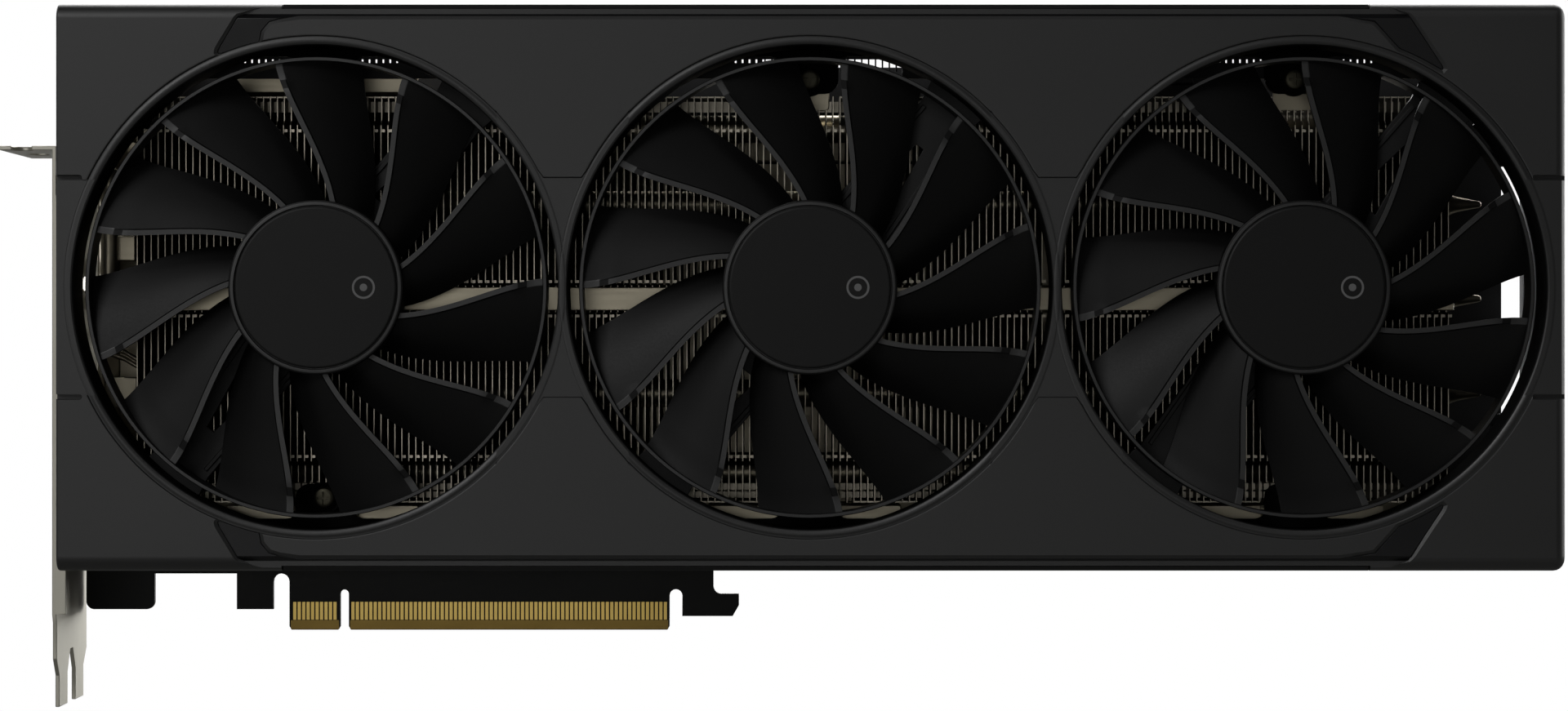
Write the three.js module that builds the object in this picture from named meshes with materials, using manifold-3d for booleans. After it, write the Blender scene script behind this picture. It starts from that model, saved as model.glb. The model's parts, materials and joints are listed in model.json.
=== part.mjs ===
// A three-fan graphics card, built as the separate pieces it comes apart into.
// Millimetres. X runs along the card with the slot bracket at -X, the fans face -Y,
// the circuit board lies in the plane Y = 0, and Z is up, away from the edge connector.
// The origin is the middle of the bottom face of the long edge-connector tab.

import * as THREE from 'three';
import { mergeVertices } from 'three/addons/utils/BufferGeometryUtils.js';
import Module from 'manifold-3d';

const wasm = await Module();
wasm.setup();

// ---------------------------------------------------------------- driving dimensions

const GAP = 0.3; // clearance between pieces that sit against each other

// Shroud
const SHROUD = { left: -92.9, right: 227.6, bottom: 15.64, top: 136.24 };
const FACE_Y = -50; // front face of the shroud
const FACE_THICK = 2.6;
const WALL = 2.6; // long side walls
const END_WALL = 2.6;
const END_WALL_REAR_Y = -8.6;
const SIDE_WALL_REAR_Y = -27;
const MID_Z = (SHROUD.bottom + SHROUD.top) / 2;
const EDGE_RADIUS = 3.2; // rounded long front edges
const END_EDGE_RADIUS = 1.6;
const STEP_DEPTH = 0.4; // the panels stand this far above the fan surrounds
const STEP_RADIUS = 53.4;
const STEP_HALF_HEIGHT = 23.2; // the web between two fans lies low for this far from the middle
const STEP_SLOPE_X = 48.4; // from a fan's centre to where its slanted step ends
const OPENING_RADIUS = 51.5;
const DUCT_THICK = 1.5;
const DUCT_REAR_Y = -36.8;
const END_GROOVE = { width: 1.1, leftLength: 5.4, rightLength: 7.1 };

// Edge trims
const TRIM_THICK = 1;
const TRIM_REAR_Y = -39;
const TRIM_LIP_RADIUS = { left: 53.5, right: 54.6 };

// Fans
const FAN_PITCH = 105;
const FANS = [
  { side: 'left', x: -37.9, ringAngle: 2.3 },
  { side: 'centre', x: -37.9 + FAN_PITCH, ringAngle: 16.5 },
  { side: 'right', x: -37.9 + 2 * FAN_PITCH, ringAngle: 25.0 },
];
const BLADES = 11;
const RING = { outer: 49.1, inner: 48.2, front: -48, rear: -40.2 };
const HUB = { outer: 18.6, inner: 17.4, front: -49, rear: -40.6, seat: -48, roof: -46.8 };
const CAP_RADIUS = 17.3;
const BLADE = { root: 18.1, tip: 48.6, sweep: 20, chordRoot: 28, chordTip: 21.5 };
const BLADE_Y = { front: -47.4, depth: 6.1, thickLead: 1.2, thickTrail: 0.7 };
const SHAFT_RADIUS = 1.5;
const BEARING_RADIUS = 3;
const FRAME_Y = { front: -39.4, rear: -37.4 };
const ARM_ANGLES = [52, 232];
const FOOT_RADIUS = 56.4;

// Cooler
const FIN = { left: -77.9, right: 206.1, bottom: 29.7, top: 117.4, front: -36.5, rear: -9 };
const FIN_STEP = { depth: 1.7, low: 38.2, high: 111.6 }; // shorter fin tips beyond these heights
const CHANNEL = { low: 70.8, high: 76.6, depth: 3 }; // groove along the middle of the fins
const FIN_BREAKS = [14.7, 120.2]; // where one stack ends and the next begins
const FIN_PITCH = 18; // one solid fin stands for twelve thin ones
const FIN_THICK = 3.6;
const FIN_BASE_THICK = 0.6;
const PIPE_RADIUS = 3;
const PIPE_Y = -20;
const PIPE_HEIGHTS = [111.1, 94.6, 73.9, 53.2, 35.9];
const PIPE_LEFT = -83.5;
const PIPE_TAIL = 8.4; // crimped end beyond the last fin
const PLATE = { left: 30, right: 96, bottom: 40, top: 104, front: -8.7, rear: -3.4 };
const CHIP = { x: 62, z: 72, package: 44, die: 24 };

// Circuit board
const BOARD_HALF = 0.8;
const BOARD = { left: -94.7, right: 178, top: 118 };
const LOWER_EDGE = 12.6; // the board's lower edge away from the connector
const POWER_SOCKETS = [119, 139.4]; // left side of each
const SOCKET = { wide: 19.4, bottom: 112.2, top: 127.6, front: -11.4, rear: -1.1, wall: 1.2 };
const SOCKET_WELL = 11;
const DISPLAY_SOCKETS = [
  { name: 'display_socket_1', z: 26, half: 8.9 },
  { name: 'display_socket_2', z: 46.5, half: 8.9 },
  { name: 'display_socket_3', z: 67, half: 8.9 },
  { name: 'hdmi_socket', z: 87, half: 7.9 },
];
const DISPLAY = { outer: -96, inner: -79, front: -7.5, rear: -1.1, wall: 0.75, well: 13 };

// Bracket
const BRACKET = { outer: -96.2, thick: 0.9, near: -35.7, far: 3.04, top: 106.7, bottom: -14.7 };
const EAR_LENGTH = 11.4;
const EAR_NOTCH_RADIUS = 2.2;
const SLOT_PITCH = 20.32;
const TONGUES = [[-31.6, -21.4], [-11.3, -1.1]];

// Backplate
const BACK = { left: -88, right: 223, bottom: 14.6, top: 126.3, front: 3.2, rear: 4.6 };
const BACK_WINDOW_HALF = 15.5;
const RETENTION_HALF = 27; // from the chip's middle to each retention screw
const SCREW_HEAD_RADIUS = 2.25;

// Facets round a full circle
const FACETS = { opening: 44, ring: 33, hub: 22, small: 12, tiny: 8 };

// ---------------------------------------------------------------- finishes

const finish = (color, roughness, metalness) => new THREE.MeshStandardMaterial({
  color, roughness, metalness, flatShading: true,
});
const SATIN_BLACK = finish(0x2b2b2b, 0.5, 0);
const GLOSS_BLACK = finish(0x18181a, 0.2, 0);
const FAN_BLACK = finish(0x141414, 0.45, 0);
const FRAME_BLACK = finish(0x1a1a1a, 0.6, 0);
const STEEL = finish(0xb9b6aa, 0.35, 1);
const DARK_STEEL = finish(0x222222, 0.4, 0.8);
const NICKEL = finish(0xb9b09c, 0.3, 1);
const ALUMINIUM = finish(0xa9a496, 0.4, 1);
const BOARD_BLACK = finish(0x0f100f, 0.5, 0);
const CHIP_GREY = finish(0x55585c, 0.25, 0.2);
const COPPER = finish(0xb87345, 0.4, 1);
const BRONZE = finish(0x9a7a45, 0.5, 1);
const MAGNET_GREY = finish(0x3a3a3c, 0.7, 0.3);

// ---------------------------------------------------------------- solids

// A closed geometry as a solid that can be joined and cut.
function solid(geometry) {
  geometry.deleteAttribute('normal');
  geometry.deleteAttribute('uv');
  const merged = mergeVertices(geometry, 1e-4);
  const index = merged.index.array;
  const triangles = [];
  for (let i = 0; i < index.length; i += 3) {
    const [a, b, c] = [index[i], index[i + 1], index[i + 2]];
    if (a !== b && b !== c && c !== a) triangles.push(a, b, c);
  }
  const body = new wasm.Manifold(new wasm.Mesh({
    numProp: 3,
    vertProperties: new Float32Array(merged.attributes.position.array),
    triVerts: new Uint32Array(triangles),
  }));
  return body;
}

const join = (first, ...rest) => rest.reduce((body, other) => body.add(other), first);
const cut = (first, ...rest) => rest.reduce((body, other) => body.subtract(other), first);

function box(x0, x1, y0, y1, z0, z1) {
  const geometry = new THREE.BoxGeometry(x1 - x0, y1 - y0, z1 - z0);
  geometry.translate((x0 + x1) / 2, (y0 + y1) / 2, (z0 + z1) / 2);
  return solid(geometry);
}

// An outline drawn in X and Z, given thickness from y0 to y1.
function plate(shape, y0, y1, curveSegments = 6) {
  const geometry = new THREE.ExtrudeGeometry(shape, { depth: y1 - y0, bevelEnabled: false, curveSegments });
  geometry.rotateX(Math.PI / 2);
  geometry.translate(0, y1, 0);
  return solid(geometry);
}

// An outline drawn in Y and Z, run along X from x0 to x1.
function bar(shape, x0, x1, curveSegments = 6) {
  const geometry = new THREE.ExtrudeGeometry(shape, { depth: x1 - x0, bevelEnabled: false, curveSegments });
  const turn = new THREE.Matrix4().makeBasis(
    new THREE.Vector3(0, 1, 0),
    new THREE.Vector3(0, 0, 1),
    new THREE.Vector3(1, 0, 0),
  );
  geometry.applyMatrix4(turn);
  geometry.translate(x0, 0, 0);
  return solid(geometry);
}

// A profile of [radius, y] pairs turned about the line through (x, z) that runs along Y.
function turned(profile, x, z, segments) {
  const points = profile.map(([r, y]) => new THREE.Vector2(r, y));
  if (profile[0][0] > 0 || profile.at(-1)[0] > 0) points.push(points[0].clone());
  const geometry = new THREE.LatheGeometry(points, segments);
  geometry.translate(x, 0, z);
  return solid(geometry);
}

const disc = (x, z, radius, y0, y1, segments) => turned(
  [[0, y0], [radius, y0], [radius, y1], [0, y1]], x, z, segments,
);
const ring = (x, z, outer, inner, y0, y1, segments) => turned(
  [[inner, y0], [outer, y0], [outer, y1], [inner, y1]], x, z, segments,
);

function polygon(points) {
  const shape = new THREE.Shape();
  points.forEach(([x, y], i) => (i ? shape.lineTo(x, y) : shape.moveTo(x, y)));
  shape.closePath();
  return shape;
}

// The outline moved outwards everywhere by the same distance; points run counter-clockwise.
function grow(points, distance) {
  const count = points.length;
  return points.map((point, i) => {
    const before = points[(i + count - 1) % count];
    const after = points[(i + 1) % count];
    const inward = new THREE.Vector2(point[0] - before[0], point[1] - before[1]).normalize();
    const outward = new THREE.Vector2(after[0] - point[0], after[1] - point[1]).normalize();
    const normal = new THREE.Vector2(inward.y + outward.y, -inward.x - outward.x);
    const stretch = (2 * distance) / normal.lengthSq();
    return [point[0] + normal.x * stretch, point[1] + normal.y * stretch];
  });
}

function roundedRectangle(x0, x1, z0, z1, leftRadius, rightRadius) {
  const shape = new THREE.Shape();
  shape.moveTo(x0 + leftRadius, z0);
  shape.absarc(x1 - rightRadius, z0 + rightRadius, rightRadius, -Math.PI / 2, 0);
  shape.absarc(x1 - rightRadius, z1 - rightRadius, rightRadius, 0, Math.PI / 2);
  shape.absarc(x0 + leftRadius, z1 - leftRadius, leftRadius, Math.PI / 2, Math.PI);
  shape.absarc(x0 + leftRadius, z0 + leftRadius, leftRadius, Math.PI, 1.5 * Math.PI);
  return shape;
}

const radians = THREE.MathUtils.degToRad;
const polar = (x, z, radius, degrees) => [
  x + radius * Math.cos(radians(degrees)),
  z + radius * Math.sin(radians(degrees)),
];
const mirrorZ = (points) => points.map(([x, z]) => [x, 2 * MID_Z - z]).reverse();

const card = new THREE.Group();

function add(name, body, material, parent = card) {
  const { numProp, vertProperties, triVerts } = body.getMesh();
  const geometry = new THREE.BufferGeometry();
  geometry.setAttribute('position', new THREE.BufferAttribute(new Float32Array(vertProperties), numProp));
  geometry.setIndex(new THREE.BufferAttribute(new Uint32Array(triVerts), 1));
  const mesh = new THREE.Mesh(geometry, material);
  mesh.name = name;
  parent.add(mesh);
}

// ---------------------------------------------------------------- shroud and trims

// The outer shape that the shroud and both trims share, with its rounded front edges.
function shroudEnvelope() {
  const front = plate(
    roundedRectangle(SHROUD.left, SHROUD.right, SHROUD.bottom, SHROUD.top, 1.5, 2.3),
    FACE_Y, END_WALL_REAR_Y, 3,
  );
  const long = new THREE.Shape();
  long.moveTo(0, SHROUD.bottom);
  long.lineTo(0, SHROUD.top);
  long.absarc(FACE_Y + EDGE_RADIUS, SHROUD.top - EDGE_RADIUS, EDGE_RADIUS, Math.PI / 2, Math.PI);
  long.absarc(FACE_Y + EDGE_RADIUS, SHROUD.bottom + EDGE_RADIUS, EDGE_RADIUS, Math.PI, 1.5 * Math.PI);
  const length = bar(long, SHROUD.left, SHROUD.right, 5);
  const across = new THREE.Shape();
  across.moveTo(SHROUD.right, 0);
  across.lineTo(SHROUD.left, 0);
  across.absarc(SHROUD.left + END_EDGE_RADIUS, FACE_Y + END_EDGE_RADIUS, END_EDGE_RADIUS, Math.PI, 1.5 * Math.PI);
  across.absarc(SHROUD.right - END_EDGE_RADIUS, FACE_Y + END_EDGE_RADIUS, END_EDGE_RADIUS, -Math.PI / 2, 0);
  const ends = new THREE.ExtrudeGeometry(across, {
    depth: SHROUD.top - SHROUD.bottom, bevelEnabled: false, curveSegments: 3,
  });
  ends.translate(0, 0, SHROUD.bottom);
  return front.intersect(length).intersect(solid(ends));
}

// The upper trim's outline on the face: a long rail with a wing that hugs a fan at each end.
function trimOutline() {
  const left = FANS[0].x;
  const right = FANS[2].x;
  const above = (points) => points.map(([x, z]) => [x, MID_Z + z]);
  return [
    polar(left, MID_Z, TRIM_LIP_RADIUS.left, 113.6),
    polar(left, MID_Z, TRIM_LIP_RADIUS.left, 107.8),
    polar(left, MID_Z, TRIM_LIP_RADIUS.left, 102.9),
    ...above([[-49.4, 54.4], [-47.7, 56.4], [-45.3, 57.1], [-41.2, 57.7]]),
    ...above([[179.4, 57.7], [187, 56.5]]),
    polar(right, MID_Z, TRIM_LIP_RADIUS.right, 68.4),
    polar(right, MID_Z, TRIM_LIP_RADIUS.right, 62.4),
    polar(right, MID_Z, TRIM_LIP_RADIUS.right, 56.5),
    ...above([[194, 57.9], [190.3, 59.4], [186, 60.4], [-45, 60.4], [-51.2, 58.9], [-54.1, 57.6]]),
  ];
}

// The trim, or with a margin the pocket that it lies in.
function trimBlank(outline, upper, margin) {
  const depth = TRIM_THICK + margin;
  const face = plate(polygon(grow(outline, margin)), FACE_Y - 1, FACE_Y + depth);
  const [low, high] = upper
    ? [SHROUD.top - depth, SHROUD.top + 1]
    : [SHROUD.bottom - 1, SHROUD.bottom + depth];
  const rail = box(-45 - margin, 186 + margin, FACE_Y - 1, TRIM_REAR_Y + margin, low, high);
  return face.add(rail);
}

// The fan surrounds and the webs between them, which lie a little below the panels.
function lowSurround() {
  const depth = FACE_Y + STEP_DEPTH;
  const rims = FANS.map((fan) => disc(fan.x, MID_Z, STEP_RADIUS, FACE_Y - 1, depth, FACETS.opening));
  const webs = [0, 1].map((i) => {
    const leftX = FANS[i].x;
    const rightX = FANS[i + 1].x;
    const tangent = 44;
    const top = [
      polar(leftX, MID_Z, STEP_RADIUS, tangent),
      [leftX + STEP_SLOPE_X, MID_Z + STEP_HALF_HEIGHT],
      [rightX - STEP_SLOPE_X, MID_Z + STEP_HALF_HEIGHT],
      polar(rightX, MID_Z, STEP_RADIUS, 180 - tangent),
    ];
    return plate(polygon([...top, ...mirrorZ(top)].reverse()), FACE_Y - 1, depth);
  });
  return join(...rims, ...webs);
}

function shroudShell(envelope, trims) {
  const cavity = box(
    SHROUD.left + END_WALL, SHROUD.right - END_WALL,
    FACE_Y + FACE_THICK, 0,
    SHROUD.bottom + WALL, SHROUD.top - WALL,
  );
  // Open long sides behind the front part of the walls, between the end posts.
  const sides = box(-78, 206.5, SIDE_WALL_REAR_Y, 0, SHROUD.bottom - 1, SHROUD.top + 1);
  // An open left end, where air leaves through the bracket.
  const leftEnd = box(SHROUD.left - 1, SHROUD.left + END_WALL + 1, -38, 0, 26, 126);
  const ducts = FANS.map((fan) => ring(
    fan.x, MID_Z, OPENING_RADIUS + DUCT_THICK, OPENING_RADIUS - 0.5,
    FACE_Y + FACE_THICK - 0.2, DUCT_REAR_Y, FACETS.opening,
  ));
  const openings = FANS.map((fan) => disc(fan.x, MID_Z, OPENING_RADIUS, FACE_Y - 1, DUCT_REAR_Y + 1, FACETS.opening));
  // A boss for each foot of the fan frames.
  const bosses = FANS.flatMap((fan) => ARM_ANGLES.map((angle) => {
    const [x, z] = polar(fan.x, MID_Z, FOOT_RADIUS - 1.2, angle);
    return disc(x, z, 3, FACE_Y + FACE_THICK - 0.2, FRAME_Y.front - GAP, FACETS.tiny);
  }));
  // A gap in each duct where an arm of the fan frame passes.
  const armGaps = FANS.flatMap((fan) => ARM_ANGLES.map((angle) => {
    const corners = [[50, -9], [56, -9], [56, 9], [50, 9]];
    const outline = corners.map(([radius, offset]) => polar(fan.x, MID_Z, radius, angle + offset));
    return plate(polygon(outline), FRAME_Y.front - GAP, DUCT_REAR_Y + 1);
  }));
  // A flange inside each long wall, with a tab at each screw.
  const walls = [SHROUD.bottom + WALL - 0.2, SHROUD.top - WALL + 0.2];
  const flanges = [
    box(SHROUD.left + 1, SHROUD.right - 1, TAB_Y, TAB_Y + TAB_THICK, walls[0], FLANGE.lower),
    box(SHROUD.left + 1, SHROUD.right - 1, TAB_Y, TAB_Y + TAB_THICK, FLANGE.upper, walls[1]),
  ];
  const tabs = SHROUD_SCREWS.map(({ x, z, upper }) => {
    const [low, high] = upper ? [z - TAB_REACH, walls[1]] : [walls[0], z + TAB_REACH];
    return box(x - TAB_WIDE / 2, x + TAB_WIDE / 2, TAB_Y, TAB_Y + TAB_THICK, low, high);
  });
  // The right end is closed towards both corners.
  const corners = [[walls[0], RIGHT_WINDOW.low], [RIGHT_WINDOW.high, walls[1]]].map(([low, high]) => box(
    RIGHT_WINDOW.x, SHROUD.right - 1, END_WALL_REAR_Y - 2, END_WALL_REAR_Y, low, high,
  ));
  const holes = SHROUD_SCREWS.map(({ x, z }) => disc(x, z, 1.7, TAB_Y - 1, TAB_Y + 3, FACETS.tiny));
  const grooves = [-1, 1].flatMap((side) => {
    const low = MID_Z + side * STEP_HALF_HEIGHT - END_GROOVE.width / 2;
    const high = low + END_GROOVE.width;
    return [
      box(SHROUD.left - 1, SHROUD.left + END_GROOVE.leftLength, FACE_Y - 1, FACE_Y + 1, low, high),
      box(SHROUD.right - END_GROOVE.rightLength, SHROUD.right + 1, FACE_Y - 1, FACE_Y + 1, low, high),
    ];
  });
  let shell = cut(envelope, cavity, sides, leftEnd);
  shell = join(shell, ...ducts, ...flanges, ...tabs, ...corners);
  shell = join(cut(shell, ...armGaps), ...bosses);
  return cut(shell, ...openings, ...holes, ...grooves, lowSurround(), ...trims);
}

const TAB_Y = -31.6;
const TAB_THICK = 2;
const TAB_WIDE = 12.6;
const TAB_REACH = 3; // from a screw's axis to the tab's free edge
const FLANGE = { lower: 26.1, upper: 126.3 };
const RIGHT_WINDOW = { x: 218.5, low: 48.5, high: 103.4 };
const SCREW_OFFSET = 45.3;
const SHROUD_SCREWS = FANS.flatMap(({ x }) => [
  { x, z: MID_Z - SCREW_OFFSET, upper: false },
  { x, z: MID_Z + SCREW_OFFSET, upper: true },
]);

function buildShroud() {
  const envelope = shroudEnvelope();
  const upper = trimOutline();
  const lower = mirrorZ(upper);
  const pockets = [trimBlank(upper, true, GAP), trimBlank(lower, false, GAP)];
  add('shroud_shell', shroudShell(envelope, pockets), SATIN_BLACK);
  add('trim_top', trimBlank(upper, true, 0).intersect(envelope), GLOSS_BLACK);
  add('trim_bottom', trimBlank(lower, false, 0).intersect(envelope), GLOSS_BLACK);
  SHROUD_SCREWS.forEach(({ x, z }, i) => {
    const head = TAB_Y - GAP;
    const screw = turned(
      [[0, head - 1.5], [1.5, head - 1.5], [SCREW_HEAD_RADIUS, head - 0.7], [SCREW_HEAD_RADIUS, head],
        [1.2, head], [1.2, head + 5.5], [0, head + 5.5]],
      x, z, FACETS.small,
    );
    add(`shroud_screw_${i + 1}`, screw, DARK_STEEL);
  });
}

// ---------------------------------------------------------------- fans

// One blade, swept and pitched: a block whose corners are carried onto the blade's surfaces.
function blade(fan, index) {
  const block = new THREE.BoxGeometry(1, 1, 1, 3, 1, 2);
  const position = block.attributes.position;
  const ringAngle = fan.ringAngle + (index * 360) / BLADES;
  for (let i = 0; i < position.count; i += 1) {
    const outward = position.getX(i) + 0.5;
    const rearFace = position.getY(i) + 0.5;
    const trailing = 0.5 - position.getZ(i);
    const radius = BLADE.root + (BLADE.tip - BLADE.root) * outward;
    const lead = ringAngle - BLADE.sweep * (1 - outward) ** 1.8;
    const chord = BLADE.chordRoot + (BLADE.chordTip - BLADE.chordRoot) * outward;
    const thick = BLADE_Y.thickLead + (BLADE_Y.thickTrail - BLADE_Y.thickLead) * trailing;
    const [x, z] = polar(fan.x, MID_Z, radius, lead - chord * trailing);
    const y = BLADE_Y.front + BLADE_Y.depth * trailing ** 0.9 + thick * rearFace;
    position.setXYZ(i, x, y, z);
  }
  return solid(block);
}

function rotor(fan) {
  const hub = turned(
    [[0, HUB.seat], [CAP_RADIUS + 0.05, HUB.seat], [CAP_RADIUS + 0.05, HUB.front],
      [HUB.outer - 0.4, HUB.front], [HUB.outer, HUB.front + 0.4], [HUB.outer, HUB.rear],
      [HUB.inner, HUB.rear], [HUB.inner, HUB.roof], [3.2, HUB.roof], [3.2, HUB.roof + 1.6],
      [SHAFT_RADIUS + 0.06, HUB.roof + 1.6], [SHAFT_RADIUS + 0.06, HUB.roof - 0.5], [0, HUB.roof - 0.5]],
    fan.x, MID_Z, FACETS.hub,
  );
  const rim = ring(fan.x, MID_Z, RING.outer, RING.inner, RING.front, RING.rear, FACETS.ring);
  const blades = Array.from({ length: BLADES }, (_, index) => blade(fan, index));
  return join(hub, rim, ...blades);
}

// The steel core of the motor: an inner ring with broad-headed teeth.
function statorCore(fan) {
  const teeth = 9;
  const outline = new THREE.Shape();
  for (let i = 0; i < teeth; i += 1) {
    const middle = (i * 360) / teeth;
    const tooth = [[7.4, -12], [12.6, -6.5], [12.8, -15.5], [14.9, -16], [14.9, 16], [12.8, 15.5], [12.6, 6.5], [7.4, 12]];
    tooth.forEach(([radius, offset], corner) => {
      const [x, z] = polar(fan.x, MID_Z, radius, middle + offset);
      if (i === 0 && corner === 0) outline.moveTo(x, z);
      else outline.lineTo(x, z);
    });
  }
  const core = plate(outline, -45.8, -41);
  return core.subtract(disc(fan.x, MID_Z, 4.9, -47, -40, FACETS.small));
}

// The fixed bridge that carries the motor: a round base, a bearing tube and two broad arms.
function fanFrame(fan) {
  const base = disc(fan.x, MID_Z, 16.8, FRAME_Y.front, FRAME_Y.rear, FACETS.hub);
  const tube = disc(fan.x, MID_Z, 4.4, -45.4, FRAME_Y.front + 0.1, FACETS.small);
  const bore = disc(fan.x, MID_Z, 3.3, -46, -38.2, FACETS.small);
  const arms = ARM_ANGLES.map((angle) => {
    const corner = (along, side) => {
      const direction = radians(angle);
      return [
        fan.x + along * Math.cos(direction) - side * Math.sin(direction),
        MID_Z + along * Math.sin(direction) + side * Math.cos(direction),
      ];
    };
    const outline = polygon([
      corner(12, -8.2), corner(47, -6), corner(52, -7), corner(FOOT_RADIUS + 2.4, -4),
      corner(FOOT_RADIUS + 2.4, 4), corner(52, 7), corner(47, 6), corner(12, 8.2),
    ]);
    outline.holes.push(new THREE.Path(
      [corner(24, -3.4), corner(24, 3.4), corner(38, 0.8), corner(38, -0.8)]
        .map(([x, z]) => new THREE.Vector2(x, z)),
    ));
    return plate(outline, FRAME_Y.front, FRAME_Y.rear);
  });
  return join(base, tube, ...arms).subtract(bore);
}

function buildFan(fan) {
  const name = `fan_${fan.side}`;
  add(`${name}_rotor`, rotor(fan), FAN_BLACK);
  const cap = turned(
    [[0, HUB.front - 0.1], [CAP_RADIUS - 0.6, HUB.front - 0.1], [CAP_RADIUS - 0.2, HUB.front + 0.2],
      [CAP_RADIUS - 0.2, HUB.seat - GAP], [0, HUB.seat - GAP]],
    fan.x, MID_Z, FACETS.hub,
  );
  add(`${name}_cap`, cap, GLOSS_BLACK);
  const magnet = ring(fan.x, MID_Z, HUB.inner - GAP, 15.4, -46.4, -41, FACETS.hub);
  add(`${name}_magnet_ring`, magnet, MAGNET_GREY);
  add(`${name}_shaft`, disc(fan.x, MID_Z, SHAFT_RADIUS, -47.1, -38.9, FACETS.small), STEEL);
  const sleeve = ring(fan.x, MID_Z, BEARING_RADIUS, SHAFT_RADIUS + 0.07, -45.1, -38.6, FACETS.small);
  add(`${name}_bearing`, sleeve, BRONZE);
  add(`${name}_stator`, statorCore(fan), COPPER);
  add(`${name}_motor_board`, ring(fan.x, MID_Z, 12.5, 5.2, -40.5, -39.9, FACETS.small), BOARD_BLACK);
  add(`${name}_frame`, fanFrame(fan), FRAME_BLACK);
}

// ---------------------------------------------------------------- cooler

// The fins' outline seen along the card, with shorter tips and the middle channel.
function finOutline() {
  const { front, rear, bottom, top } = FIN;
  const tip = front + FIN_STEP.depth;
  return polygon([
    [rear, bottom], [rear, top], [tip, top], [tip, FIN_STEP.high], [front, FIN_STEP.high],
    [front, CHANNEL.high], [front + CHANNEL.depth, CHANNEL.high], [front + CHANNEL.depth, CHANNEL.low],
    [front, CHANNEL.low], [front, FIN_STEP.low], [tip, FIN_STEP.low], [tip, bottom],
  ]);
}

// Round pipes pass through six-sided clearance holes.
function pipeHole(height, x0, x1) {
  const shape = new THREE.Shape();
  const radius = (PIPE_RADIUS + GAP) / Math.cos(Math.PI / 6);
  for (let i = 0; i < 6; i += 1) {
    const angle = (i * Math.PI) / 3;
    const point = [PIPE_Y + radius * Math.cos(angle), height + radius * Math.sin(angle)];
    if (i) shape.lineTo(...point);
    else shape.moveTo(...point);
  }
  return bar(shape, x0, x1);
}

// One stack of fins on a thin base sheet.
function finStack(x0, x1) {
  const whole = bar(finOutline(), x0, x1);
  const slots = [];
  const count = Math.round((x1 - x0 - FIN_THICK) / FIN_PITCH);
  const pitch = (x1 - x0 - FIN_THICK) / count;
  for (let i = 0; i < count; i += 1) {
    const start = x0 + FIN_THICK + i * pitch;
    slots.push(box(
      start, start + pitch - FIN_THICK, FIN.front - 1, FIN.rear - FIN_BASE_THICK, FIN.bottom - 1, FIN.top + 1,
    ));
  }
  const holes = PIPE_HEIGHTS.map((height) => pipeHole(height, x0 - 1, x1 + 1));
  const screwRoom = SHROUD_SCREWS.map(({ x, z, upper }) => {
    const [half, low, high] = upper ? [4.6, z - 6.7, z + 6] : [TAB_WIDE / 2 + 0.4, z - 6, z + TAB_REACH + 0.4];
    return box(x - half, x + half, FIN.front - 1, TAB_Y + 7, low, high);
  });
  const socketRoom = box(
    POWER_SOCKETS[0] - 1, POWER_SOCKETS[1] + SOCKET.wide + 1,
    SOCKET.front - 0.6, FIN.rear + 1, SOCKET.bottom - 1, FIN.top + 1,
  );
  return cut(whole, ...slots, ...holes, ...screwRoom, socketRoom);
}

// A pipe with its crimped tail; the left end is domed.
function heatPipe(height, tail) {
  const right = FIN.right + (tail ? 1 : -3);
  const profile = [[0, PIPE_LEFT], [1.8, PIPE_LEFT + 0.5], [PIPE_RADIUS, PIPE_LEFT + 2.2]];
  if (tail) {
    profile.push([PIPE_RADIUS, right], [1.6, right + 1.4], [0.8, right + PIPE_TAIL - 1], [0, right + PIPE_TAIL - 1]);
  } else {
    profile.push([PIPE_RADIUS, right], [0, right]);
  }
  const geometry = new THREE.LatheGeometry(profile.map(([r, x]) => new THREE.Vector2(r, x)), FACETS.tiny);
  geometry.rotateZ(-Math.PI / 2);
  geometry.translate(0, PIPE_Y, height);
  return solid(geometry);
}

function coldPlate() {
  const block = box(PLATE.left, PLATE.right, PLATE.front, PLATE.rear, PLATE.bottom, PLATE.top);
  const holes = retentionCorners().map(([x, z]) => disc(x, z, 1.7, PLATE.rear - 3.6, PLATE.rear + 1, FACETS.tiny));
  return cut(block, ...holes);
}

// The sheet-metal frame round the cold plate, with the flanges that stand beside the fins.
function coolerFrame() {
  const rear = -7.9;
  const front = rear - 0.8;
  const sheet = box(-87, 206, front, rear, 24, 110.5);
  const window = box(
    PLATE.left - 0.6, PLATE.right + 0.6, front - 1, rear + 1, PLATE.bottom - 0.6, PLATE.top + 0.6,
  );
  const sideWall = box(-87, -86, -32, rear, 40, 110);
  const pipeRest = box(-86.2, -79, -31, -26.4, 82, 87.4);
  const upperWeb = box(-60, -18, -27, rear, 118.6, 119.6);
  const upperLip = box(-60, -18, -28, -27, 118.6, 124.6);
  const upperTie = box(-60, -18, front, rear, 110, 119.6);
  const lowerLips = FANS.map(({ x }) => join(
    box(x - 22, x + 20, -27, rear, 27.9, 28.9),
    box(x - 22, x + 20, -28, -27, 22.5, 28.9),
  ));
  const notches = SHROUD_SCREWS.map(({ x, z }) => box(x - 6.8, x + 6.8, -40, -23.6, z - 7, z + 7));
  return cut(join(sheet, sideWall, pipeRest, upperWeb, upperLip, upperTie, ...lowerLips), window, ...notches);
}

function retentionCorners() {
  return [[-1, -1], [1, -1], [1, 1], [-1, 1]].map(([sx, sz]) => [
    CHIP.x + sx * RETENTION_HALF, CHIP.z + sz * RETENTION_HALF,
  ]);
}

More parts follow.
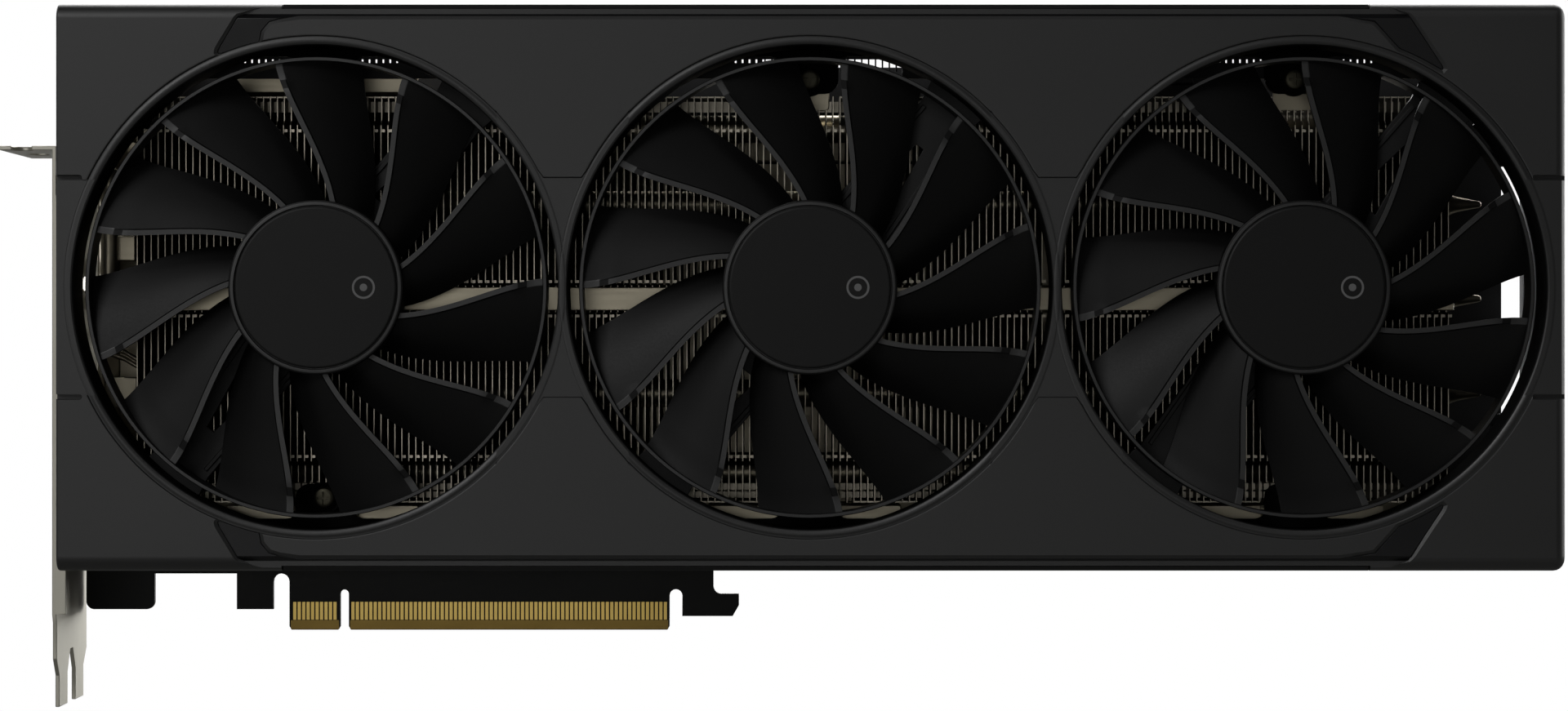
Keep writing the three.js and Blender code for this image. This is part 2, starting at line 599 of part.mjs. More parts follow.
function buildCooler() {
  const ends = [FIN.left, ...FIN_BREAKS, FIN.right];
  FANS.forEach((fan, i) => {
    const left = ends[i] + (i ? GAP : 0);
    const right = ends[i + 1] - (i < 2 ? GAP : 0);
    add(`fin_stack_${fan.side}`, finStack(left, right), ALUMINIUM);
  });
  PIPE_HEIGHTS.forEach((height, i) => {
    const tail = i > 0 && i < 4;
    add(`heat_pipe_${i + 1}`, heatPipe(height, tail), NICKEL);
  });
  const barFront = FIN.front + 1.2;
  add('fin_tie_bar', box(FIN.left, FIN.right, barFront, barFront + 1.2, CHANNEL.low + 0.4, CHANNEL.high - 0.4), NICKEL);
  add('cold_plate', coldPlate(), NICKEL);
  add('cooler_frame', coolerFrame(), NICKEL);
}

// ---------------------------------------------------------------- circuit board

function boardOutline() {
  const shape = new THREE.Shape();
  const corner = (x, z, radius, from, to, clockwise = false) => {
    shape.absarc(x, z, radius, radians(from), radians(to), clockwise);
  };
  shape.moveTo(BOARD.left, BOARD.top);
  shape.lineTo(BOARD.left, 4.6 + 1.8);
  corner(BOARD.left + 1.8, 4.6 + 1.8, 1.8, 180, 270);
  corner(-79.4 - 1.8, 4.6 + 1.8, 1.8, 270, 360);
  shape.lineTo(-79.4, LOWER_EDGE);
  shape.lineTo(-61, LOWER_EDGE);
  shape.lineTo(-61, 4.6);
  shape.lineTo(-52.8, 4.6);
  corner(-51, LOWER_EDGE - 1.8, 1.8, 180, 0, true);
  shape.lineTo(-49.2, 0.8);
  shape.lineTo(-48.7, 0);
  shape.lineTo(-38.3, 0);
  shape.lineTo(-37.8, 0.8);
  corner(-36.85, 8.05, 0.95, 180, 0, true);
  shape.lineTo(-35.9, 0.8);
  shape.lineTo(-35.4, 0);
  shape.lineTo(35.45, 0);
  shape.lineTo(35.95, 0.8);
  corner(37.4, 7.65, 1.43, 180, 0, true);
  shape.lineTo(38.8, 3.06);
  shape.lineTo(50.1, 3.06);
  shape.lineTo(51.5, 5.5);
  shape.lineTo(51.5, 8.1);
  shape.lineTo(47.6, 8.1);
  corner(47.6, 9.9, 1.8, 270, 180, true);
  shape.lineTo(45.8, 15.8);
  shape.lineTo(BOARD.right, 15.8);
  shape.lineTo(BOARD.right, BOARD.top);
  return shape;
}

function circuitBoard() {
  const blank = plate(boardOutline(), -BOARD_HALF, BOARD_HALF, 4);
  const holes = retentionCorners().map(([x, z]) => disc(x, z, 1.8, -2, 2, FACETS.tiny));
  return cut(blank, ...holes);
}

function powerSocket(left) {
  const { wide, bottom, top, front, rear, wall } = SOCKET;
  const block = box(left, left + wide, front, rear, bottom, top);
  const well = box(left + wall, left + wide - wall, front + wall, rear - wall, top - SOCKET_WELL, top + 1);
  const latch = box(left + wide / 2 - 3, left + wide / 2 + 3, front - 1.3, front + 0.1, top - 6, top - 1);
  return block.subtract(well).add(latch);
}

function displaySocket({ z, half }) {
  const { outer, inner, front, rear, wall, well } = DISPLAY;
  const block = box(outer, inner, front, rear, z - half, z + half);
  const hollow = box(outer - 1, outer + well, front + wall, rear - wall, z - half + wall, z + half - wall);
  return block.subtract(hollow);
}

function buildBoard() {
  const { x, z, package: substrate, die } = CHIP;
  add('circuit_board', circuitBoard(), BOARD_BLACK);
  add('gpu_substrate', box(x - substrate / 2, x + substrate / 2, -2.1, -1.1, z - substrate / 2, z + substrate / 2), BOARD_BLACK);
  add('gpu_die', box(x - die / 2, x + die / 2, -3.1, -2.4, z - die / 2, z + die / 2), CHIP_GREY);
  POWER_SOCKETS.forEach((left, i) => add(`power_socket_${i + 1}`, powerSocket(left), FRAME_BLACK));
  DISPLAY_SOCKETS.forEach((socket) => add(socket.name, displaySocket(socket), STEEL));
}

// ---------------------------------------------------------------- bracket and backplate

function slotBracket() {
  const { outer, thick, near, far, top, bottom } = BRACKET;
  const inner = outer + thick;
  const outline = polygon([
    [near, top], [near, 5.6], [near + 0.9, 3.7], [near + 0.9, -4.1], [TONGUES[0][0], -7.8],
    [TONGUES[0][0], bottom], [TONGUES[0][1], bottom], [TONGUES[0][1], -7.8],
    [-18, -3], [-14.7, -3], [TONGUES[1][0], -7.8], [TONGUES[1][0], bottom],
    [TONGUES[1][1], bottom], [TONGUES[1][1], -7.8], [far, -4.1], [far, top],
  ].reverse());
  const sheet = bar(outline, outer, inner);
  const flange = box(outer, outer + 3, near, near + thick, 5.6, 96.2);
  const ear = box(outer - EAR_LENGTH, inner, near, far, top - thick, top);
  const lug = box(outer, -95, -1.1, -0.3 - BOARD_HALF, 8.7, LOWER_EDGE);
  const notchX = outer - 6.6;
  const notch = join(
    disc(0, 0, EAR_NOTCH_RADIUS, 0, 4, FACETS.small),
    box(-EAR_NOTCH_RADIUS, EAR_NOTCH_RADIUS, 0, 4, -6, 0),
  );
  const upright = (y) => {
    const hole = notch.rotate([-90, 0, 0]);
    return hole.translate([notchX, y, top + 2]);
  };
  const windows = DISPLAY_SOCKETS.map(({ z, half }) => box(
    outer - 1, inner + 1, DISPLAY.front - GAP, DISPLAY.rear + GAP, z - half - GAP, z + half + GAP,
  ));
  const vents = Array.from({ length: 10 }, (_, i) => {
    const z = 20 + i * 7.8;
    return box(outer - 1, inner + 1, -32, -13, z, z + 4.6);
  });
  const body = join(sheet, flange, ear, lug);
  return cut(body, ...windows, ...vents, upright(near + 2.2), upright(near + 2.2 + SLOT_PITCH));
}

function backplate() {
  const sheet = plate(
    roundedRectangle(BACK.left, BACK.right, BACK.bottom, BACK.top, 3, 3), BACK.front, BACK.rear, 4,
  );
  const { x, z } = CHIP;
  const window = plate(
    roundedRectangle(x - BACK_WINDOW_HALF, x + BACK_WINDOW_HALF, z - BACK_WINDOW_HALF, z + BACK_WINDOW_HALF, 4, 4),
    0, 8, 4,
  );
  const holes = retentionCorners().map(([hx, hz]) => disc(hx, hz, 3.8, 0, 8, FACETS.small));
  const standoffs = [-80, -20, 20, 110, 168].flatMap((sx) => [22, 112].map((sz) => disc(
    sx, sz, 2.6, BOARD_HALF + GAP, BACK.front + 0.1, FACETS.tiny,
  )));
  return cut(join(sheet, ...standoffs), window, ...holes);
}

// The cross-shaped spring that pulls the cold plate onto the chip from behind the board.
function retentionSpring() {
  const { x, z } = CHIP;
  const pads = retentionCorners().map(([px, pz]) => disc(px, pz, 4, 1.2, 2.1, FACETS.small));
  const arm = (direction) => {
    const reach = RETENTION_HALF * Math.SQRT2;
    const geometry = new THREE.BoxGeometry(2 * reach, 0.9, 6);
    geometry.rotateY(direction * Math.PI / 4);
    geometry.translate(x, 1.65, z);
    return solid(geometry);
  };
  const centre = box(x - 12, x + 12, 1.2, 2.1, z - 12, z + 12);
  const holes = retentionCorners().map(([px, pz]) => disc(px, pz, 1.7, 0, 3, FACETS.tiny));
  return cut(join(arm(1), arm(-1), centre, ...pads), ...holes);
}

function buildRear() {
  add('slot_bracket', slotBracket(), STEEL);
  add('backplate', backplate(), SATIN_BLACK);
  add('retention_spring', retentionSpring(), STEEL);
  retentionCorners().forEach(([x, z], i) => {
    const screw = turned(
      [[0, -6.6], [1.4, -6.6], [1.4, 2.4], [2.9, 2.4], [2.9, 3.8], [2.3, 4.3], [0, 4.3]],
      x, z, FACETS.tiny,
    );
    add(`retention_screw_${i + 1}`, screw, DARK_STEEL);
  });
}

buildShroud();
FANS.forEach(buildFan);
buildCooler();
buildBoard();
buildRear();

export default card;
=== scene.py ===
"""A long graphics card with three ringed fans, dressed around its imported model.

Every piece is shaped in millimetres and turned to metres when it is finished. The fans face -Y,
the slot bracket is at -X, and Z is up, away from the edge connector.
"""

from __future__ import annotations

import json
import logging
import math
from dataclasses import dataclass, field
from enum import Enum
from typing import Callable, Iterable, Sequence

import bmesh
import bpy
from mathutils import Matrix, Vector


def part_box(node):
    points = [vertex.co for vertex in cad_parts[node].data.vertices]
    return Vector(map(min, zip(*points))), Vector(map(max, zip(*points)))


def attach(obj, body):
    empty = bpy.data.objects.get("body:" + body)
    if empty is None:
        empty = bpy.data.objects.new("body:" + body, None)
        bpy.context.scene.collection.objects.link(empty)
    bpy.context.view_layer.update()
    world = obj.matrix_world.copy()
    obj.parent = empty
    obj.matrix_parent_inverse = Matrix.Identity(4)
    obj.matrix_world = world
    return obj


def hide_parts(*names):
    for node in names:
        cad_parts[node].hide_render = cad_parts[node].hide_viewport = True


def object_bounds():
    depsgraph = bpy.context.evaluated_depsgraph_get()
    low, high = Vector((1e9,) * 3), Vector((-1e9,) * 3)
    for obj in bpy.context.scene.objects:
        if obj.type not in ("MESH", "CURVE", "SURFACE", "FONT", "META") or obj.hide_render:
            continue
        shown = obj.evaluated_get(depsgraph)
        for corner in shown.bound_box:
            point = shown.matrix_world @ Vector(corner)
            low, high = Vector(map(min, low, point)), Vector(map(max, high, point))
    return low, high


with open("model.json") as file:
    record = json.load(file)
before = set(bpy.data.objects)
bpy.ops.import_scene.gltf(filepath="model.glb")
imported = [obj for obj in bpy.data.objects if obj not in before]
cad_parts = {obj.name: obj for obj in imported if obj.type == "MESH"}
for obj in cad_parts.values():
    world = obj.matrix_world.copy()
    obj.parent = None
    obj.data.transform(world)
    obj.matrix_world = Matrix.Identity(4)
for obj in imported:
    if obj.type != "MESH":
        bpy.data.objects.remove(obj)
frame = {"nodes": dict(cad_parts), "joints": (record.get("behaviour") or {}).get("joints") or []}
cad_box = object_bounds()

LOG = logging.getLogger("graphics_card")
MM = 0.001
Point = tuple[float, float]
Place = tuple[float, float, float]
BODY = "card_body"

# The directions of the two arms behind each wheel, and how far out their screws are.
ARM_DEGREES: Point = (52.0, 232.0)
ARM_SCREW_REACH = 55.2


# ------------------------------------------------------------------------------ colours and nodes


def linear(code: str) -> tuple[float, float, float, float]:
    """Turn an sRGB hex colour into linear red, green, blue and alpha.

    Args:
        code: Six hex digits after a hash sign.

    Returns:
        The linear colour, with an alpha of 1.
    """
    values = [int(code[i : i + 2], 16) / 255 for i in (1, 3, 5)]
    turned = [v / 12.92 if v <= 0.04045 else ((v + 0.055) / 1.055) ** 2.4 for v in values]
    return (*turned, 1.0)


def add_node(tree: bpy.types.NodeTree, kind: str, settings: dict | None = None, **inputs) -> bpy.types.Node:
    """Add a node, set it up and join its inputs.

    Args:
        tree: The node tree that the node goes into.
        kind: The node's type name.
        settings: Properties of the node itself.
        **inputs: A socket to link from, or a value, for each input; underscores stand for spaces.

    Returns:
        The new node.
    """
    node = tree.nodes.new(kind)
    for name, value in (settings or {}).items():
        setattr(node, name, value)
    for name, value in inputs.items():
        socket = node.inputs[int(name[1:])] if name[0] == "_" else node.inputs[name.replace("_", " ")]
        if isinstance(value, bpy.types.NodeSocket):
            tree.links.new(value, socket)
        else:
            socket.default_value = value
    return node


# ------------------------------------------------------------------------------ finishes


class Grain(Enum):
    """How a surface was made, which decides the shape of its finest pattern."""

    MOULDED = "moulded"
    BRUSHED_X = "brushed along X"
    BRUSHED_Z = "brushed along Z"
    SPARKED = "spark-eroded texture"


STRETCH = {
    Grain.MOULDED: (1.0, 1.0, 1.0),
    Grain.SPARKED: (1.0, 1.0, 1.0),
    Grain.BRUSHED_X: (0.03, 1.0, 1.0),
    Grain.BRUSHED_Z: (1.0, 1.0, 0.03),
}


@dataclass(frozen=True)
class Finish:
    """One surface finish: a common material and the way its surface was made.

    A slow cloud shifts the colour and roughness, as handling and moulding do, and a fine
    grain gives the roughness its life and the bump its height.
    """

    name: str
    colour: str
    cloud_colour: str
    roughness: tuple[float, float]
    metallic: float = 0.0
    ior: float = 1.5
    specular: float = 0.5
    grain: Grain = Grain.MOULDED
    grain_mm: float = 0.6
    grain_height_mm: float = 0.01
    cloud_mm: float = 40.0

    def make(self) -> bpy.types.Material:
        """Build the material.

        Returns:
            A material whose pattern follows Object coordinates.
        """
        material = bpy.data.materials.new(self.name)
        material.use_nodes = True
        tree = material.node_tree
        tree.nodes.clear()
        place = add_node(tree, "ShaderNodeTexCoord").outputs["Object"]
        cloud = add_node(tree, "ShaderNodeTexNoise", Vector=place, Scale=1 / (self.cloud_mm * MM), Detail=3.0)
        stretched = add_node(tree, "ShaderNodeMapping", Vector=place, Scale=STRETCH[self.grain])
        grain = add_node(
            tree, "ShaderNodeTexNoise", Vector=stretched.outputs["Vector"],
            Scale=1 / (self.grain_mm * MM), Detail=2.0, Roughness=0.6,
        )
        colour = add_node(
            tree, "ShaderNodeMix", {"data_type": "RGBA"}, Factor=cloud.outputs["Fac"],
            _6=linear(self.colour), _7=linear(self.cloud_colour),
        )
        both = add_node(
            tree, "ShaderNodeMix", {"data_type": "FLOAT"}, _0=0.5,
            _2=cloud.outputs["Fac"], _3=grain.outputs["Fac"],
        )
        rough = add_node(
            tree, "ShaderNodeMapRange", Value=both.outputs[0], From_Min=0.3, From_Max=0.7,
            To_Min=self.roughness[0], To_Max=self.roughness[1],
        )
        bump = add_node(
            tree, "ShaderNodeBump", Height=grain.outputs["Fac"],
            Strength=0.6, Distance=self.grain_height_mm * MM,
        )
        settings = {"Metallic": self.metallic}
        if not self.metallic:
            settings["IOR"] = self.ior
            settings["Specular_IOR_Level"] = self.specular
        shader = add_node(
            tree, "ShaderNodeBsdfPrincipled", Base_Color=colour.outputs[2],
            Roughness=rough.outputs["Result"], Normal=bump.outputs["Normal"], **settings,
        )
        add_node(tree, "ShaderNodeOutputMaterial", Surface=shader.outputs["BSDF"])
        return material


class Finishes:
    """All finishes of the card, each made once.

    Real mould grain and brushing are about 0.05 to 0.1 mm across, too fine to show, so they are
    drawn several times coarser.
    """

    def __init__(self) -> None:
        """Build every material."""
        # Satin ABS from a spark-eroded mould: soft, wide reflections and a fine even grain.
        self.shroud = Finish(
            "satin_abs", "#161616", "#1a1a1a", (0.4, 0.52), grain=Grain.SPARKED,
            grain_mm=0.45, grain_height_mm=0.008, specular=0.6,
        ).make()
        # Polished ABS: a clear, tighter reflection than the shroud beside it.
        self.trim = Finish(
            "polished_abs", "#08080a", "#0b0b0c", (0.3, 0.38),
            grain_mm=3.0, grain_height_mm=0.0004, specular=0.28,
        ).make()
        # The ducts' inner walls: a blacker, duller copy of the shroud plastic, painted shade where little
        # light gets into the ducts.
        self.duct = Finish(
            "abs_painted_duct_shade", "#050505", "#070707", (0.7, 0.8),
            grain_mm=0.5, grain_height_mm=0.01, specular=0.06,
        ).make()
        # Glass-filled PBT of the fan wheels: dark, with a faint silky sheen.
        self.fan = Finish(
            "glass_filled_pbt", "#080808", "#0b0b0b", (0.42, 0.54),
            grain_mm=0.35, grain_height_mm=0.006, specular=0.17,
        ).make()
        # The faces of the same wheels that look to the front: a paler, glossier copy of the wheel plastic, a
        # painted sheen where they face the light.
        self.fan_front_sheen = Finish(
            "glass_filled_pbt_painted_sheen", "#161616", "#1a1a1a", (0.38, 0.48),
            grain_mm=0.35, grain_height_mm=0.004, specular=0.6,
        ).make()
        # A printed film on each hub: flatter and finer than the wheel.
        self.cap = Finish(
            "hub_film", "#090909", "#0b0b0b", (0.48, 0.54),
            grain_mm=0.25, grain_height_mm=0.003, specular=0.25,
        ).make()
        # Grey screen ink on the hub film.
        self.ink = Finish("screen_ink", "#5c5c5c", "#626262", (0.5, 0.6), grain_mm=0.2).make()
        # Plain moulded nylon of the frames behind the wheels.
        self.nylon = Finish(
            "moulded_nylon", "#080808", "#0c0c0c", (0.45, 0.6),
            grain_mm=0.8, grain_height_mm=0.008, specular=0.3,
        ).make()
        # Rolled aluminium strip, its faces between the fins a dark brown copy of the metal: painted shade of
        # the narrow gaps.
        self.fin = Finish(
            "aluminium_painted_gap_shade", "#4d473b", "#3c372d", (0.38, 0.5), metallic=1.0,
            grain=Grain.BRUSHED_Z, grain_mm=0.5, grain_height_mm=0.006,
        ).make()
        # The faces of the fins that look to the front, their sheared edges among them: the bright metal,
        # without the painted shade.
        self.cut_edge = Finish(
            "sheared_aluminium", "#c6c0b2", "#aaa393", (0.36, 0.5), metallic=1.0,
            grain=Grain.BRUSHED_Z, grain_mm=0.5, grain_height_mm=0.003,
        ).make()
        # Nickel plating over copper: bright and slightly warm.
        self.nickel = Finish(
            "nickel_plate", "#bdb5a2", "#ada590", (0.34, 0.44), metallic=1.0,
            grain=Grain.BRUSHED_X, grain_mm=0.6, grain_height_mm=0.002,
        ).make()
        # Zinc-nickel plated sheet steel of the bracket, brushed along its length.
        self.steel = Finish(
            "plated_sheet_steel", "#b9b6ab", "#a5a297", (0.36, 0.48), metallic=1.0,
            grain=Grain.BRUSHED_Z, grain_mm=0.4, grain_height_mm=0.006,
        ).make()
        # Dark zinc on small screws: dull metal with an uneven sheen.
        self.screw = Finish(
            "black_zinc", "#4c4a3f", "#5c594c", (0.42, 0.52), metallic=1.0,
            grain_mm=0.5, grain_height_mm=0.02, cloud_mm=2.0,
        ).make()
        # Satin powder coat on the aluminium backplate: a faint orange-peel surface.
        self.backplate = Finish(
            "powder_coat", "#131314", "#18181a", (0.42, 0.55),
            grain_mm=0.7, grain_height_mm=0.02,
        ).make()
        # Matt black solder mask, a thin lacquer over glass cloth.
        self.board = Finish(
            "solder_mask", "#070806", "#0a0b08", (0.4, 0.52),
            grain_mm=0.9, grain_height_mm=0.01, specular=0.2,
        ).make()
        # Hard gold over nickel on the edge contacts: yellow, with brushing along Z.
        self.gold = Finish(
            "hard_gold", "#d8bb6e", "#c3a55a", (0.26, 0.36), metallic=1.0,
            grain=Grain.BRUSHED_Z, grain_mm=0.25, grain_height_mm=0.004,
        ).make()
        # The bevelled foot of the contacts, where the gold is thin and dull.
        self.worn_gold = Finish(
            "thin_gold", "#9a7f45", "#86703c", (0.36, 0.46), metallic=1.0,
            grain=Grain.BRUSHED_X, grain_mm=0.3,
        ).make()
        # Etched silicon: a grey mirror.
        self.silicon = Finish(
            "silicon", "#6c7078", "#5c6068", (0.08, 0.14), metallic=0.7, grain_mm=6.0,
        ).make()
        # Epoxy moulding compound of the chips.
        self.epoxy = Finish("moulding_epoxy", "#17181a", "#1d1e20", (0.45, 0.6), grain_mm=0.3).make()
        # Silicone pad between a chip and the plate: soft, pale grey and dull.
        self.pad = Finish("silicone_pad", "#7f8790", "#747b84", (0.7, 0.85), grain_mm=0.5).make()
        # Fired ceramic of the small capacitors: a light brown body.
        self.ceramic = Finish("fired_ceramic", "#8c7256", "#7b634a", (0.35, 0.5), grain_mm=0.2).make()
        # Pressed ferrite of the chokes and motor magnets: dull grey and open-grained.
        self.ferrite = Finish(
            "pressed_ferrite", "#3a3b3d", "#2e2f31", (0.6, 0.75), grain_mm=0.3, grain_height_mm=0.03,
        ).make()
        # Drawn aluminium cans of the capacitors.
        self.can = Finish(
            "drawn_can", "#b9bcc0", "#a4a7ab", (0.2, 0.32), metallic=1.0, grain=Grain.BRUSHED_Z,
        ).make()
        # Enamelled copper wire.
        self.copper = Finish(
            "enamelled_copper", "#b06a3c", "#8f5230", (0.25, 0.4), metallic=1.0, grain_mm=0.3,
        ).make()
        # Sintered bronze of the bearing sleeves.
        self.bronze = Finish(
            "sintered_bronze", "#8d6d3a", "#7a5c2e", (0.4, 0.6), metallic=1.0, grain_mm=0.2,
        ).make()


# ------------------------------------------------------------------------------ outlines


def on_circle(centre: Point, radius: float, degrees: float) -> Point:
    """The point of a circle at an angle, counter-clockwise from the first axis."""
    angle = math.radians(degrees)
    return (centre[0] + radius * math.cos(angle), centre[1] + radius * math.sin(angle))


def arc(centre: Point, radius: float, start: float, end: float, steps: int) -> list[Point]:
    """Points along an arc.

    Args:
        centre: The arc's centre.
        radius: Its radius.
        start: The first angle in degrees, counter-clockwise from the first axis.
        end: The last angle in degrees.
        steps: How many straight pieces it has.

    Returns:
        The points, both ends included.
    """
    return [on_circle(centre, radius, start + (end - start) * i / steps) for i in range(steps + 1)]


def softened(points: Sequence[Point], corner: int, reach: float, steps: int = 5) -> list[Point]:
    """Replace one corner of an outline with a smooth curve.

    Args:
        points: The outline.
        corner: Which point is the corner.
        reach: How far from the corner the curve starts and ends.
        steps: How many points the curve has, less one.

    Returns:
        The outline with the curve in the corner's place.
    """
    tip = Vector(points[corner])
    start = tip + (Vector(points[corner - 1]) - tip).normalized() * reach
    end = tip + (Vector(points[(corner + 1) % len(points)]) - tip).normalized() * reach
    shares = [i / steps for i in range(steps + 1)]
    curve = [tuple(start * (1 - t) ** 2 + tip * 2 * t * (1 - t) + end * t * t) for t in shares]
    return [*points[:corner], *curve, *points[corner + 1:]]


def rounded(low: Point, high: Point, radius: float, steps: int = 6) -> list[Point]:
    """A rectangle with round corners, counter-clockwise.

    Args:
        low: The lowest corner.
        high: The highest corner.
        radius: The corner radius.
        steps: Straight pieces in each corner.

    Returns:
        The outline's points.
    """
    (x0, z0), (x1, z1) = low, high
    corners = [(x1, z0, -90), (x1, z1, 0), (x0, z1, 90), (x0, z0, 180)]
    points: list[Point] = []
    for x, z, start in corners:
        centre = (x - radius if x == x1 else x + radius, z - radius if z == z1 else z + radius)
        points += arc(centre, radius, start, start + 90, steps)
    return points


def grow(points: Sequence[Point], distance: float) -> list[Point]:
    """Move a counter-clockwise outline outwards by the same distance all round.

    Args:
        points: The outline.
        distance: How far; a negative value shrinks it.

    Returns:
        The moved outline.
    """
    moved = []
    for i, here in enumerate(points):
        before, after = Vector(points[i - 1]), Vector(points[(i + 1) % len(points)])
        into = (Vector(here) - before).normalized()
        out = (after - Vector(here)).normalized()
        normal = Vector((into.y + out.y, -into.x - out.x))
        shift = normal * (2 * distance / max(normal.length_squared, 0.5))
        moved.append((here[0] + shift.x, here[1] + shift.y))
    return moved


# ------------------------------------------------------------------------------ shaping


class Shape:
    """A mesh that is being shaped, in millimetres."""

    def __init__(self) -> None:
        """Start with nothing."""
        self.mesh = bmesh.new()

    def block(
        self, low: Sequence[float], high: Sequence[float], bevel: float = 0.0, segments: int = 2,
    ) -> Shape:
        """Add a box, with its edges bevelled if asked.

        Args:
            low: The lowest corner.
            high: The highest corner.
            bevel: The width of its bevelled edges.
            segments: Steps across each bevel.

        Returns:
            This shape.
        """
        low, high = Vector(low), Vector(high)
        made = bmesh.ops.create_cube(self.mesh, size=1)["verts"]
        bmesh.ops.scale(self.mesh, vec=high - low, verts=made)
        bmesh.ops.translate(self.mesh, vec=(low + high) / 2, verts=made)
        if bevel:
            edges = list({edge for vert in made for edge in vert.link_edges})
            self.bevel(edges, bevel, segments)
        return self

    def bevel(self, edges: Iterable[bmesh.types.BMEdge], width: float, segments: int = 2) -> None:
        """Round off edges.

        Args:
            edges: The edges.
            width: How far the bevel reaches from each.
            segments: Steps across it.
        """
        bmesh.ops.bevel(
            self.mesh, geom=list(edges), offset=width, segments=segments, profile=0.5,
            affect="EDGES", material=-1, clamp_overlap=True,
        )

    def slab(
        self, outline: Sequence[Point], front: float, rear: float, front_outline: Sequence[Point] = (),
    ) -> Shape:
        """Add a plate from an outline in X and Z.

        Args:
            outline: The plate's outline at its rear, and at its front unless another is given.
            front: The y of its front face.
            rear: The y of its rear face.
            front_outline: A different outline for the front face, with as many points.

        Returns:
            This shape.
        """
        base = [self.mesh.verts.new((x, rear, z)) for x, z in outline]
        face = self.mesh.faces.new(base)
        made = bmesh.ops.extrude_face_region(self.mesh, geom=[face])["geom"]
        raised = [item for item in made if isinstance(item, bmesh.types.BMVert)]
        bmesh.ops.translate(self.mesh, vec=(0, front - rear, 0), verts=raised)
        if front_outline:
            corners = [Vector(point) for point in outline]
            for vert in raised:
                here = vert.co.xz
                nearest = min(range(len(corners)), key=lambda i: (corners[i] - here).length)
                vert.co.x, vert.co.z = front_outline[nearest]
        return self

    def bar(self, outline: Sequence[Point], left: float, right: float) -> Shape:
        """Add a prism along X from an outline in Y and Z.

        Args:
            outline: The outline.
            left: The x where it starts.
            right: The x where it ends.

        Returns:
            This shape.
        """
        base = [self.mesh.verts.new((left, y, z)) for y, z in outline]
        face = self.mesh.faces.new(base)
        made = bmesh.ops.extrude_face_region(self.mesh, geom=[face])["geom"]
        moved = [item for item in made if isinstance(item, bmesh.types.BMVert)]
        bmesh.ops.translate(self.mesh, vec=(right - left, 0, 0), verts=moved)
        return self

    def turned(
        self, profile: Sequence[Point], centre: Vector, steps: int, axis: Vector = Vector((0, 1, 0)),
    ) -> Shape:
        """Spin a profile about an axis.

        Args:
            profile: Pairs of radius and distance along the axis; a profile that doesn't end on the
                axis closes on itself.
            centre: The point on the axis from which distances are counted.
            steps: Facets round the circle.
            axis: The axis.

        Returns:
            This shape.
        """
        side = Vector((1, 0, 0)) if abs(axis.x) < 0.5 else Vector((0, 0, 1))
        verts = [self.mesh.verts.new(centre + side * r + axis * along) for r, along in profile]
        edges = [self.mesh.edges.new(pair) for pair in zip(verts, verts[1:])]
        if profile[0][0] > 0 and profile[-1][0] > 0:
            edges.append(self.mesh.edges.new((verts[-1], verts[0])))
        before = set(self.mesh.verts) - set(verts)
        bmesh.ops.spin(
            self.mesh, geom=verts + edges, cent=centre, axis=axis, dvec=(0, 0, 0),
            angle=2 * math.pi, steps=steps, use_merge=True, use_duplicate=False,
        )
        new = [vert for vert in self.mesh.verts if vert not in before]
        bmesh.ops.remove_doubles(self.mesh, verts=new, dist=1e-4)
        return self

    def copies(self, moves: Iterable[Matrix]) -> Shape:
        """Repeat everything so far.

        Args:
            moves: Where each copy goes; what is there already stays.

        Returns:
            This shape.
        """
        first = list(self.mesh.verts) + list(self.mesh.edges) + list(self.mesh.faces)
        for move in moves:
            made = bmesh.ops.duplicate(self.mesh, geom=first)["geom"]
            verts = [item for item in made if isinstance(item, bmesh.types.BMVert)]
            bmesh.ops.transform(self.mesh, matrix=move, verts=verts)
        return self

    def add(self, other: Shape) -> Shape:
        """Put another shape's mesh into this one.

        Args:
            other: The shape to copy in.

        Returns:
            This shape.
        """
        data = bpy.data.meshes.new("joining")
        other.mesh.to_mesh(data)
        self.mesh.from_mesh(data)
        bpy.data.meshes.remove(data)
        return self

    def bend(self, carry: Callable[[Vector], Vector]) -> Shape:
        """Move every vertex by a rule."""
        for vert in self.mesh.verts:
            vert.co = carry(vert.co)
        return self

    def taken_from(self, node: str) -> Shape:
        """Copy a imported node's mesh, with its loose triangles merged into whole faces.

        Args:
            node: The node's name.

        Returns:
            This shape.
        """
        self.mesh.from_mesh(frame["nodes"][node].data)
        bmesh.ops.scale(self.mesh, vec=(1 / MM, 1 / MM, 1 / MM), verts=self.mesh.verts)
        bmesh.ops.remove_doubles(self.mesh, verts=self.mesh.verts, dist=1e-3)
        bmesh.ops.dissolve_limit(
            self.mesh, angle_limit=math.radians(0.5), verts=self.mesh.verts, edges=self.mesh.edges,
        )
        return self

    def closed(self) -> Shape:
        """Merge doubles and turn all faces outwards.

        Returns:
            This shape.
        """
        bmesh.ops.remove_doubles(self.mesh, verts=self.mesh.verts, dist=1e-4)
        bmesh.ops.recalc_face_normals(self.mesh, faces=self.mesh.faces)
        return self

    def joined(self, *others: Shape) -> Shape:
        """Return this shape joined with others as one solid."""
        return self.combined("UNION", others)

    def carved(self, *others: Shape) -> Shape:
        """Return this shape with others cut away."""
        return self.combined("DIFFERENCE", others)

    def shared(self, *others: Shape) -> Shape:
        """Return only what this shape has in common with others."""
        return self.combined("INTERSECT", others)

